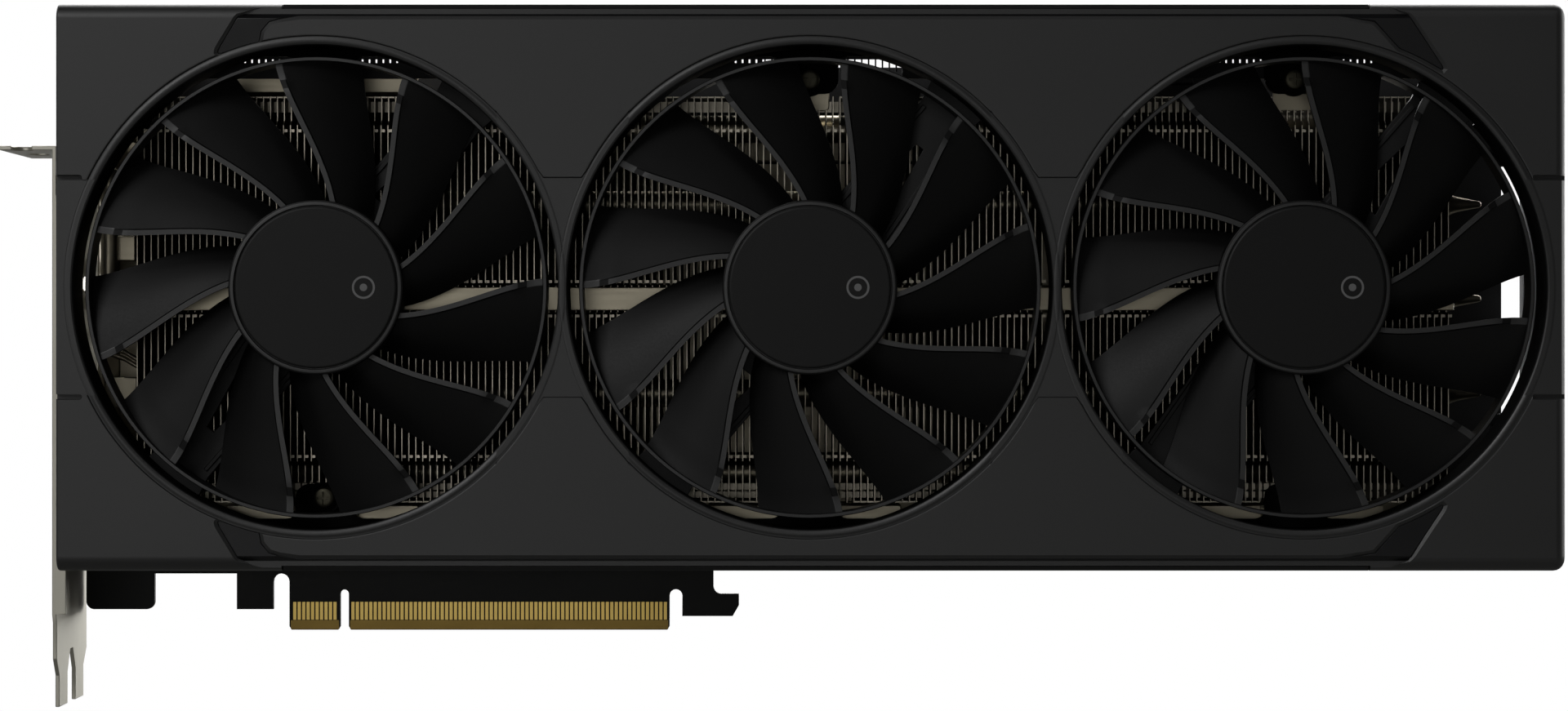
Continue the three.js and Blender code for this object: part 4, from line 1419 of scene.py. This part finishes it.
    def comb(self) -> Shape:
        """Shape the thin comb behind the upper flange, which almost closes the gap above the fins.

        Returns:
            The comb.
        """
        front, rear = self.tab_y[1] + 0.1, self.tab_y[1] + 0.8
        low, sill, head, high = self.comb_z
        comb = Shape()
        posts = [self.low.x + 4, *(fan.centre.x for fan in self.fans), self.right_window[0]]
        for left, right in zip(posts, posts[1:]):
            left, right = left + self.comb_clear, right - self.comb_clear
            comb.block((left, front, head), (right, rear, high))
            for i in range(int((right - left) / self.comb_pitch)):
                x = left + i * self.comb_pitch
                if self.open_x[0] < x < self.open_x[1]:
                    comb.block((x, front, low + 1.5), (x + self.comb_slat, rear, head))
                else:
                    comb.block((x, front, low), (x + self.comb_pitch + 0.01, rear, sill))
                    comb.block((x, front, sill), (x + self.comb_pitch - self.comb_window, rear, head))
        return comb

    def lugs(self) -> Shape:
        """Shape the sheet-metal lugs that the upper screws bite into.

        Returns:
            The lugs.
        """
        lugs = Shape()
        front, rear = self.lug_y
        bottom, top = self.lug_z
        for spot in self.screws()[1::2]:
            low, high = (spot.x - self.lug_half, spot.z + bottom), (spot.x + self.lug_half, spot.z + top)
            hole = Shape().turned([(0, -30), (1.6, -30), (1.6, -28), (0, -28)], spot, 20)
            lugs.add(Shape().slab(rounded(low, high, 0.8, 3), front, rear).carved(hole))
        return lugs

    def screws(self) -> list[Vector]:
        """Find the axis of each shroud screw.

        Returns:
            A point on each axis, lower and upper for each fan in turn.
        """
        spots = []
        for name in sorted(node for node in frame["nodes"] if node.startswith("shroud_screw")):
            low, high = extent(name)
            spots.append(Vector(((low.x + high.x) / 2, 0, (low.z + high.z) / 2)))
        return spots

    def end_grooves(self) -> list[Shape]:
        """Shape the short grooves at both ends of the face.

        Returns:
            The cutters.
        """
        made = []
        left = (self.low.x - 1, self.low.x + self.groove_reach[0])
        right = (self.high.x - self.groove_reach[1], self.high.x + 1)
        for z in (self.middle - self.step_half, self.middle + self.step_half):
            for near, far in (left, right):
                groove = rounded((near, z - self.groove_half), (far, z + self.groove_half), 0.45, 4)
                made.append(Shape().slab(groove, self.front - 1, self.front + self.groove_depth))
                made.append(Shape().slab(groove, self.front - 0.2, self.front + 0.2, grow(groove, 0.4)))
        return made

    def trim(self, upper: bool) -> Shape:
        """Shape a finished trim with wings that fall away towards the fans.

        Args:
            upper: Whether it is the upper one.

        Returns:
            The trim.
        """
        blank = self.trim_blank(upper, 0.0)
        shape = blank.shared(self.envelope(chamfered=True))

        def slope(co: Vector) -> Vector:
            """Lower a point of a wing's face towards the nearest fan.

            Args:
                co: The point.

            Returns:
                The same point, lowered where it lies on a wing.
            """
            near = min(self.fans, key=lambda fan: abs(fan.centre.x - co.x)).centre
            reach = math.hypot(co.x - near.x, co.z - near.z)
            if co.y < self.front + self.wing_skin and not self.wing_x[0] < co.x < self.wing_x[1]:
                co.y += self.wing_slope * max(self.wing_edge - reach, 0.0)
            return co

        return shape.bend(slope)

    def in_duct(self, face: bpy.types.MeshPolygon) -> bool:
        """Tell whether a face of the shell belongs to the inner wall of a duct, which takes the painted
        shade.

        Args:
            face: The face, in metres.

        Returns:
            Whether it does.
        """
        spot = face.center / MM
        if spot.y < self.front + self.duct_start:
            return False
        reaches = (math.hypot(spot.x - fan.centre.x, spot.z - fan.centre.z) for fan in self.fans)
        return any(reach < self.opening + 0.05 for reach in reaches)

    def build(self) -> None:
        """Make the shell, the trims and their screws."""
        # The inner walls of the ducts take the black copy of the shroud plastic: painted shade.
        Piece(
            "shroud_moulding", self.shell(self.envelope()), self.finishes.shroud, "shroud_plastic",
            BODY, ["shroud_shell"], smooth_degrees=32,
            second_material=self.finishes.duct, takes_second=self.in_duct,
        ).place()
        for name, upper in (("trim_top", True), ("trim_bottom", False)):
            Piece(
                f"{name}_moulding", self.trim(upper), self.finishes.trim, "trim_plastic", BODY, [name],
                edge_mm=0.3,
            ).place()
        Piece("top_air_comb", self.comb(), self.finishes.nylon, "frame_plastic").place()
        Piece("screw_lugs", self.lugs(), self.finishes.nickel, "nickel", edge_mm=0.15).place()
        low, high = extent("shroud_screw_1")
        for i, spot in enumerate(self.screws(), 1):
            screw = cross_screw(spot, low.y, high.y, *self.screw_radii)
            Piece(
                f"shroud_cross_screw_{i}", screw, self.finishes.screw, "screw_steel", BODY,
                [f"shroud_screw_{i}"],
            ).place()


def cross_screw(spot: Vector, front: float, rear: float, radius: float, shank: float) -> Shape:
    """Shape a cross-head screw that faces -Y.

    Args:
        spot: A point on its axis.
        front: The y of its head's crown.
        rear: The y of its tip.
        radius: The head's radius.
        shank: The shank's radius.

    Returns:
        The screw.
    """
    head = front + 1.5
    screw = Shape().turned(
        [(0, front), (radius * 0.6, front + 0.03), (radius * 0.86, front + 0.12),
         (radius * 0.96, front + 0.3), (radius, front + 0.6), (radius, head), (shank, head),
         (shank, rear - 0.4), (0, rear)],
        spot, 32,
    )
    narrow, wide, depth = radius * 0.13, radius * 0.62, front + 1.0
    for half_x, half_z in ((wide, narrow), (narrow, wide)):
        low = (spot.x - half_x, front - 1, spot.z - half_z)
        high = (spot.x + half_x, depth, spot.z + half_z)
        screw = screw.carved(Shape().block(low, high))
    return screw


# ------------------------------------------------------------------------------ cooler


@dataclass
class Cooler:
    """The fin stacks, the pipes and the sheet-metal frame round them."""

    finishes: Finishes
    fans: list[FanPlace]
    pitch: float = 1.5
    fin_thick: float = 0.2
    step_depth: float = 1.7
    step_heights: Point = (38.2, 111.6)
    channel: Point = (70.8, 76.6)
    channel_depth: float = 3.0
    pipe_radius: float = 3.0
    room_rear: float = -24.6
    upper_room: Point = (4.6, 114.5)
    lower_room: Point = (6.7, 34.1)
    socket_x: Point = (117.7, 160.0)
    socket_y: float = -12.2
    socket_z: float = 111.0
    zip_tabs: tuple[Point, ...] = ((30.6, 31.9), (32.3, 33.7), (114.3, 116.6))
    zip_depth: Point = (6.0, 6.3)
    flange_depth: float = 20.0
    crimped_pipes: tuple[int, ...] = (2, 3, 4)
    tube_route: tuple[Point, ...] = ((-76.0, 59.4), (-79.0, 60.4), (-82.0, 62.2), (-85.0, 63.3))
    tube_shifts: Point = (0.0, 1.5)
    tube_radius: float = 0.6
    tube_y: float = -26.0

    def fin_outline(self, low: Vector, high: Vector, x: float) -> list[Point]:
        """Draw a fin in Y and Z, with small lips at its steps and room for what is near it.

        Args:
            low: The stack's lowest corner.
            high: The stack's highest corner.
            x: Where along the card the fin stands.

        Returns:
            The outline, counter-clockwise.
        """
        tip = low.y + self.step_depth
        deep = low.y + self.channel_depth
        low_z, high_z = self.step_heights
        beside = min(abs(x - fan.centre.x) for fan in self.fans)
        rear_top = [(high.y, high.z)]
        if self.socket_x[0] < x < self.socket_x[1]:
            under = (self.socket_y, self.socket_z)
            rear_top = [(high.y, self.socket_z), under, (self.socket_y, high.z)]
        top = [(tip, high.z)]
        if beside < self.upper_room[0]:
            ceiling = self.upper_room[1]
            top = [(self.room_rear, high.z), (self.room_rear, ceiling), (tip, ceiling)]
        bottom = [(tip, low.z)]
        if beside < self.lower_room[0]:
            floor = self.lower_room[1]
            bottom = [(tip, floor), (self.room_rear, floor), (self.room_rear, low.z)]
        outline = [
            (high.y, low.z), *rear_top, *top, (tip, high_z + 0.5), (low.y + 0.4, high_z),
            (low.y, high_z - 0.5), (low.y, self.channel[1] + 0.5), (low.y + 0.5, self.channel[1]),
            (deep, self.channel[1]), (deep, self.channel[0]), (low.y + 0.5, self.channel[0]),
            (low.y, self.channel[0] - 0.5), (low.y, low_z + 0.5), (low.y + 0.4, low_z),
            (tip, low_z - 0.5), *bottom,
        ]
        return outline[::-1]

    def stack(self, side: str) -> Shape:
        """Shape one stack of thin fins with the folded tabs that space them.

        Args:
            side: Which fan it lies behind.

        Returns:
            The stack.
        """
        low, high = extent(f"fin_stack_{side}")
        count = int((high.x - low.x) / self.pitch)
        gap = self.pitch - self.fin_thick
        tip = low.y + self.step_depth
        near_zip, far_zip = (tip + depth for depth in self.zip_depth)
        lips = (
            self.channel[0] - 1.1, self.channel[1] + 0.5,
            self.step_heights[0] + 1.2, self.step_heights[1] - 2.0,
        )
        stack = Shape()
        for i in range(count):
            x = low.x + 0.1 + self.pitch * i
            stack.bar(self.fin_outline(low, high, x), x, x + self.fin_thick)
            beside = min(abs(x - fan.centre.x) for fan in self.fans)
            near, far = x + self.fin_thick, x + self.fin_thick + gap - 0.15
            if beside > self.upper_room[0] + self.pitch:
                stack.block((near, tip, high.z - 0.35), (far, tip + self.flange_depth, high.z - 0.05))
            if beside > self.lower_room[0] + self.pitch:
                stack.block((near, tip, low.z + 0.05), (far, tip + self.flange_depth, low.z + 0.35))
            for bottom, top in self.zip_tabs:
                stack.block((near, near_zip, bottom), (far, far_zip, top))
            for z in lips:
                stack.block((near, low.y + 0.25, z), (near + gap * 0.55, low.y + 1.0, z + 0.6))
        return stack

    def pipe(self, i: int) -> Shape:
        """Shape one round pipe, with its crimped tail where it has one.

        Args:
            i: The pipe's number.

        Returns:
            The pipe.
        """
        low, high = extent(f"heat_pipe_{i}")
        centre = Vector((0, (low.y + high.y) / 2, (low.z + high.z) / 2))
        r = self.pipe_radius
        start, end = low.x, high.x
        left = [(0, start), (1.2, start + 0.15), (2.2, start + 0.8), (2.8, start + 1.7), (r, start + 2.8)]
        right = [(r, end - 0.6), (r - 0.6, end), (0, end)]
        if i in self.crimped_pipes:
            right = [
                (r, end - 8.6), (r * 0.96, end - 8.0), (2.0, end - 6.2), (1.7, end - 5.2),
                (0.75, end - 0.6), (0.6, end - 0.2), (0.3, end), (0, end),
            ]
        return Shape().turned(left + right, centre, 32, Vector((1, 0, 0)))

    def build(self) -> None:
        """Make the cooler's pieces."""
        for side in ("left", "centre", "right"):
            name = f"fin_stack_{side}"
            # The fins' sides take the dark copy, painted shade, and their front faces the bright metal.
            Piece(
                f"thin_fins_{side}", self.stack(side), self.finishes.fin, "fin_aluminium", BODY, [name],
                smooth_degrees=10, second_material=self.finishes.cut_edge,
            ).place()
        for i in range(1, 6):
            Piece(
                f"round_pipe_{i}", self.pipe(i), self.finishes.nickel, "nickel", BODY, [f"heat_pipe_{i}"],
            ).place()
        bar = Shape().block(*extent("fin_tie_bar"), 0.25)
        Piece("flat_tie_bar", bar, self.finishes.nickel, "nickel", BODY, ["fin_tie_bar"]).place()
        dress("cold_plate", self.finishes.nickel)
        self.sheet_frame()
        self.left_end()

    def sheet_frame(self) -> None:
        """Finish the sheet-metal frame with soft edges."""
        sheet = Shape().taken_from("cooler_frame")
        Piece(
            "sheet_metal_frame", sheet, self.finishes.nickel, "nickel", BODY, ["cooler_frame"], edge_mm=0.3,
        ).place()

    def left_end(self) -> None:
        """Shape the round post, the rest block and the bent tubes at the left end of the fins."""
        post = Shape().turned(
            [(0, 72), (1.6, 72), (1.95, 72.4), (1.95, 101.6), (1.6, 102), (0, 102)],
            Vector((-84.4, -33.0, 0)), 28, Vector((0, 0, 1)),
        )
        post.block((-86.0, -29.0, 50.2), (-79.0, -25.0, 56.8), 0.4)
        Piece("left_end_post", post, self.finishes.nickel, "nickel").place()
        tubes = Shape()
        for shift in self.tube_shifts:
            tubes.add(self.tube([(x, z - shift) for x, z in self.tube_route]))
        Piece("left_end_tubes", tubes, self.finishes.nickel, "nickel").place()

    def tube(self, route: Sequence[Point]) -> Shape:
        """Shape a thin tube through points in X and Z, at the depth of the pipes' front.

        Args:
            route: The points that it passes.

        Returns:
            The tube.
        """
        shape = Shape()
        upright = Matrix.Rotation(math.radians(90), 3, "Y")
        rings = []
        for x, z in route:
            made = bmesh.ops.create_circle(
                shape.mesh, cap_ends=False, radius=self.tube_radius, segments=12,
            )["verts"]
            bmesh.ops.rotate(shape.mesh, verts=made, cent=(0, 0, 0), matrix=upright)
            bmesh.ops.translate(shape.mesh, verts=made, vec=(x, self.tube_y, z))
            rings.append(list({edge for vert in made for edge in vert.link_edges}))
        for near, far in zip(rings, rings[1:]):
            bmesh.ops.bridge_loops(shape.mesh, edges=near + far)
        for end in (rings[0], rings[-1]):
            bmesh.ops.contextual_create(shape.mesh, geom=end)
        return shape


# ------------------------------------------------------------------------------ board


@dataclass
class Board:
    """The circuit board with its contacts, parts and sockets."""

    finishes: Finishes
    contact_pitch: float = 1.0
    contact_wide: float = 0.7
    contact_z: Point = (2.25, 6.25)
    foot_z: Point = (0.15, 2.15)
    surface: float = 0.8
    tabs: tuple[Point, Point] = ((-48.9, -38.1), (-35.6, 35.65))
    chip: Point = (62.0, 72.0)
    memory_columns: Point = (31.5, 92.5)
    memory_rows: tuple[float, ...] = (57.0, 72.0, 87.0)
    plate_front: float = -3.4
    memory_size: Place = (12.0, 14.0, 1.2)
    phase_columns: Point = (12.0, 113.0)
    phase_rows: tuple[float, ...] = (38.0, 50.5, 63.0, 75.5, 88.0, 100.5)
    choke_size: Place = (10.0, 10.0, 4.4)
    stage_size: Place = (5.0, 6.0, 0.8)
    stage_reach: float = 9.5
    can_reach: float = 18.5
    can_height: float = 5.8
    regulator_size: Place = (5.0, 4.0, 1.5)
    regulators: tuple[Point, ...] = (
        (-58.0, 30.0), (-40.0, 96.0), (-25.0, 60.0), (140.0, 22.0), (158.0, 60.0), (-12.0, 24.0),
    )
    tongue_contact_pitch: float = 0.9

    def contacts(self) -> tuple[Shape, Shape]:
        """Shape the bright contacts and their dull feet on both sides of the board.

        Returns:
            The contacts and the feet.
        """
        contacts, feet = Shape(), Shape()
        low, high = self.contact_z
        for left, right in self.tabs:
            count = int((right - left) / self.contact_pitch)
            start = (left + right) / 2 - (count - 1) * self.contact_pitch / 2
            for side in (-1, 1):
                face = side * self.surface
                near, far = sorted((face, face + side * 0.04))
                for i in range(count):
                    x = start + i * self.contact_pitch - self.contact_wide / 2
                    contacts.block((x, near, low), (x + self.contact_wide, far, high))
                feet.block((left, near, self.foot_z[0]), (right, far, self.foot_z[1]))
        return contacts, feet

    def on_front(self, shape: Shape, spot: Point, size: Sequence[float], bevel: float = 0.15) -> None:
        """Stand a block on the board's front face.

        Args:
            shape: The shape that it joins.
            spot: Its middle in X and Z.
            size: How wide, how long and how tall it is.
            bevel: Its bevelled edge.
        """
        (x, z), (wide, long, tall) = spot, size
        low = (x - wide / 2, -self.surface - tall, z - long / 2)
        shape.block(low, (x + wide / 2, -self.surface, z + long / 2), bevel)

    def memory(self) -> tuple[Shape, Shape]:
        """Shape the memory chips and the soft pads between them and the cold plate.

        Returns:
            The chips and the pads.
        """
        chips, pads = Shape(), Shape()
        front, rear = self.plate_front + 0.05, -self.surface - self.memory_size[2] - 0.05
        for x in self.memory_columns:
            for z in self.memory_rows:
                self.on_front(chips, (x, z), self.memory_size, 0.1)
                pads.block((x - 5, front, z - 6), (x + 5, rear, z + 6), 0.2)
        return chips, pads

    def phases(self) -> tuple[Shape, Shape, Shape]:
        """Shape the chokes, the power stages and the capacitors that feed the chip.

        Returns:
            The chokes, the flat chips, and the round cans.
        """
        chokes, stages, cans = Shape(), Shape(), Shape()
        for side, x in zip((-1, 1), self.phase_columns):
            for z in self.phase_rows:
                self.on_front(chokes, (x, z), self.choke_size, 0.5)
                self.on_front(stages, (x + side * self.stage_reach, z), self.stage_size, 0.1)
                top, foot = -self.surface - self.can_height, -self.surface
                cans.turned(
                    [(0, top + 0.2), (2.3, top + 0.2), (2.5, top), (2.9, top + 0.1), (3.15, top + 0.5),
                     (3.15, -2.6), (2.9, -2.3), (3.15, -2.0), (3.15, foot), (0, foot)],
                    Vector((x + side * self.can_reach, 0, z)), 28,
                )
        for spot in self.regulators:
            self.on_front(stages, spot, self.regulator_size)
        return chokes, stages, cans

    def small_parts(self) -> Shape:
        """Shape the ceramic capacitors along the board's long edges and behind the chip.

        Returns:
            The capacitors.
        """
        parts = Shape()
        for i in range(44):
            self.on_front(parts, (-34 + i * 4.4, 17.2 + 1.5 * (i % 3 == 0)), (1.8, 0.9, 0.9), 0.1)
        for i in range(20):
            self.on_front(parts, (-74 + i * 4.6, 114.0), (1.0, 1.8, 0.9), 0.1)
        centre_x, centre_z = self.chip
        for side in (-1, 1):
            for step in range(-3, 4):
                along, away = step * 2.2, side * 13.9
                for x, z in ((centre_x + along, centre_z + away), (centre_x + away, centre_z + along)):
                    parts.block(
                        (x - 0.5, self.surface, z - 0.5), (x + 0.5, self.surface + 0.8, z + 0.5), 0.08,
                    )
        return parts

    def power_inserts(self) -> tuple[Shape, Shape]:
        """Shape the cell walls inside both power sockets, and the contact in each cell.

        Returns:
            The walls and the contacts.
        """
        walls, pins = Shape(), Shape()
        for name in ("power_socket_1", "power_socket_2"):
            low, high = extent(name)
            left, right = low.x + 1.2, high.x - 1.2
            front, rear = high.y - 9.1, high.y - 1.2
            floor, top = high.z - 10.9, high.z - 0.4
            pitch, middle = (right - left) / 4, (front + rear) / 2
            for i in range(1, 4):
                x = left + i * pitch
                walls.block((x - 0.3, front, floor), (x + 0.3, rear, top), 0.08)
            walls.block((left, middle - 0.3, floor), (right, middle + 0.3, top), 0.08)
            for i in range(4):
                for y in ((front + middle) / 2, (middle + rear) / 2):
                    x = left + (i + 0.5) * pitch
                    pins.block((x - 0.55, y - 0.55, floor), (x + 0.55, y + 0.55, floor + 7.5), 0.2)
        return walls, pins

    def display_sockets(self) -> list[str]:
        """List the nodes of the four display sockets, in the order of their names."""
        sockets = (node for node in frame["nodes"] if "_socket" in node)
        return sorted(node for node in sockets if not node.startswith("power"))

    def display_tongues(self) -> tuple[Shape, Shape]:
        """Shape the contact tongue inside each display socket, and its contacts.

        Returns:
            The tongues and the contacts.
        """
        tongues, contacts = Shape(), Shape()
        pitch = self.tongue_contact_pitch
        for name in self.display_sockets():
            low, high = extent(name)
            y, half = (low.y + high.y) / 2, (high.z - low.z) / 2 - 2.4
            z = (low.z + high.z) / 2
            tongues.block((low.x + 1.2, y - 0.5, z - half), (low.x + 13.2, y + 0.5, z + half), 0.15)
            for i in range(int(2 * half / pitch)):
                across = z - half + 0.6 + pitch * i
                for face in (y - 0.55, y + 0.5):
                    contacts.block(
                        (low.x + 1.6, face, across - 0.18), (low.x + 11, face + 0.05, across + 0.18),
                    )
        return tongues, contacts

    def build(self) -> None:
        """Make the board's pieces and dress the nodes that stay."""
        made = self.finishes
        dress("circuit_board", made.board)
        dress("gpu_substrate", made.board)
        dress("gpu_die", made.silicon)
        contacts, feet = self.contacts()
        chips, pads = self.memory()
        chokes, stages, cans = self.phases()
        walls, pins = self.power_inserts()
        tongues, tongue_contacts = self.display_tongues()
        for name, shape, material, slot in (
            ("edge_contacts", contacts, made.gold, "bronze"),
            ("edge_contact_feet", feet, made.worn_gold, "bronze"),
            ("memory_chips", chips, made.epoxy, "silicon"),
            ("memory_pads", pads, made.pad, "silicon"),
            ("phase_chokes", chokes, made.ferrite, "magnet"),
            ("power_stages", stages, made.epoxy, "silicon"),
            ("capacitor_cans", cans, made.can, "steel"),
            ("ceramic_capacitors", self.small_parts(), made.ceramic, "silicon"),
            ("power_socket_cells", walls, made.nylon, "socket_plastic"),
            ("power_socket_pins", pins, made.gold, "bronze"),
            ("display_socket_tongues", tongues, made.nylon, "socket_plastic"),
            ("display_socket_contacts", tongue_contacts, made.gold, "bronze"),
        ):
            Piece(name, shape, material, slot).place()
        for name in ("power_socket_1", "power_socket_2"):
            housing = Shape().taken_from(name)
            Piece(
                f"{name}_housing", housing, made.nylon, "socket_plastic", BODY, [name], edge_mm=0.25,
            ).place()
        for i, name in enumerate(self.display_sockets(), 1):
            shell = Shape().taken_from(name)
            Piece(
                f"display_socket_{i}_shell", shell, made.steel, "steel", BODY, [name], edge_mm=0.15,
            ).place()


# ------------------------------------------------------------------------------ rear


@dataclass
class Rear:
    """The slot bracket, the backplate and the retention parts."""

    finishes: Finishes
    stand_off_x: tuple[float, ...] = (-80.0, -20.0, 20.0, 110.0, 168.0)
    stand_off_z: Point = (22.0, 112.0)
    recess: Point = (3.0, 0.9)
    groove: Point = (1.4, 0.35)
    groove_rows: tuple[Place, ...] = ((96.0, 92.0, 88.0), (46.0, 50.0, 54.0))
    groove_inner: Point = (8.0, 118.0)
    groove_margin: float = 10.0
    groove_stagger: float = 4.0
    screw_radii: Point = (2.3, 1.1)
    screw_tip: float = -1.2
    bracket_screw_y: float = -4.3
    bracket_screw_z: tuple[float, ...] = (36.2, 56.8, 77.0)

    def backplate(self) -> Shape:
        """Shape the backplate with countersinks for its screws and pressed bands of grooves.

        Returns:
            The backplate.
        """
        low, high = extent("backplate")
        radius, depth = self.recess
        wide, deep = self.groove
        plate = Shape().taken_from("backplate")
        cutters = [
            Shape().turned(
                [(0, high.y - depth), (radius - 0.5, high.y - depth), (radius, high.y + 0.02),
                 (radius, high.y + 1), (0, high.y + 1)], Vector((x, 0, z)), 32,
            )
            for x in self.stand_off_x for z in self.stand_off_z
        ]
        left_end, right_start = self.groove_inner
        spans = ((right_start, high.x - self.groove_margin), (low.x + self.groove_margin, left_end))
        for start, end in spans:
            for heights in self.groove_rows:
                for i, z in enumerate(heights):
                    inset = self.groove_stagger * i
                    near, far = (start + inset, z - wide / 2), (end - inset, z + wide / 2)
                    groove = rounded(near, far, wide * 0.49, 4)
                    cutters.append(Shape().slab(groove, high.y - deep, high.y + 1))
        return plate.carved(*cutters)

    def plate_screws(self) -> Shape:
        """Shape the countersunk cross-head screws of the backplate.

        Returns:
            The screws, turned to face the rear.
        """
        screws = Shape()
        head = -extent("backplate")[1].y + 0.15
        for x in self.stand_off_x:
            for z in self.stand_off_z:
                screw = cross_screw(Vector((x, 0, z)), head, self.screw_tip, *self.screw_radii)
                screws.add(screw.bend(lambda co: Vector((co.x, -co.y, co.z))))
        return screws

    def build(self) -> None:
        """Make the rear pieces."""
        made = self.finishes
        Piece(
            "rear_plate", self.backplate(), made.backplate, "backplate_paint", BODY, ["backplate"],
            edge_mm=0.2,
        ).place()
        Piece("rear_plate_screws", self.plate_screws(), made.screw, "screw_steel").place()
        sheet = Shape().taken_from("slot_bracket")
        Piece(
            "pressed_bracket", sheet, made.steel, "steel", BODY, ["slot_bracket"], edge_mm=0.15,
        ).place()
        face = extent("display_socket_1")[0].x - 0.2
        screws = Shape()
        for z in self.bracket_screw_z:
            screws.turned(
                [(0, -0.7), (0.9, -0.7), (0.9, -0.35), (1.7, -0.35), (2.1, 0), (2.1, 0.2), (0, 0.2)],
                Vector((face, self.bracket_screw_y, z)), 24, Vector((1, 0, 0)),
            )
        Piece("bracket_screws", screws, made.screw, "screw_steel").place()
        spring = Shape().taken_from("retention_spring")
        Piece(
            "cross_spring", spring, made.steel, "steel", BODY, ["retention_spring"], edge_mm=0.2,
        ).place()
        for i in range(1, 5):
            dress(f"retention_screw_{i}", made.screw)


# ------------------------------------------------------------------------------ whole card


def main() -> None:
    """Build the studio and the card, in the order it would be put together."""
    logging.basicConfig(level=logging.INFO, format="%(message)s")
    Studio().build()
    finishes = Finishes()
    fans = fan_places()
    Shroud(finishes, fans).build()
    for fan in fans:
        FanWheel(finishes).build(fan)
        FanFrame(finishes).build(fan)
    Cooler(finishes, fans).build()
    Board(finishes).build()
    Rear(finishes).build()


if __name__ == "__main__":
    main()
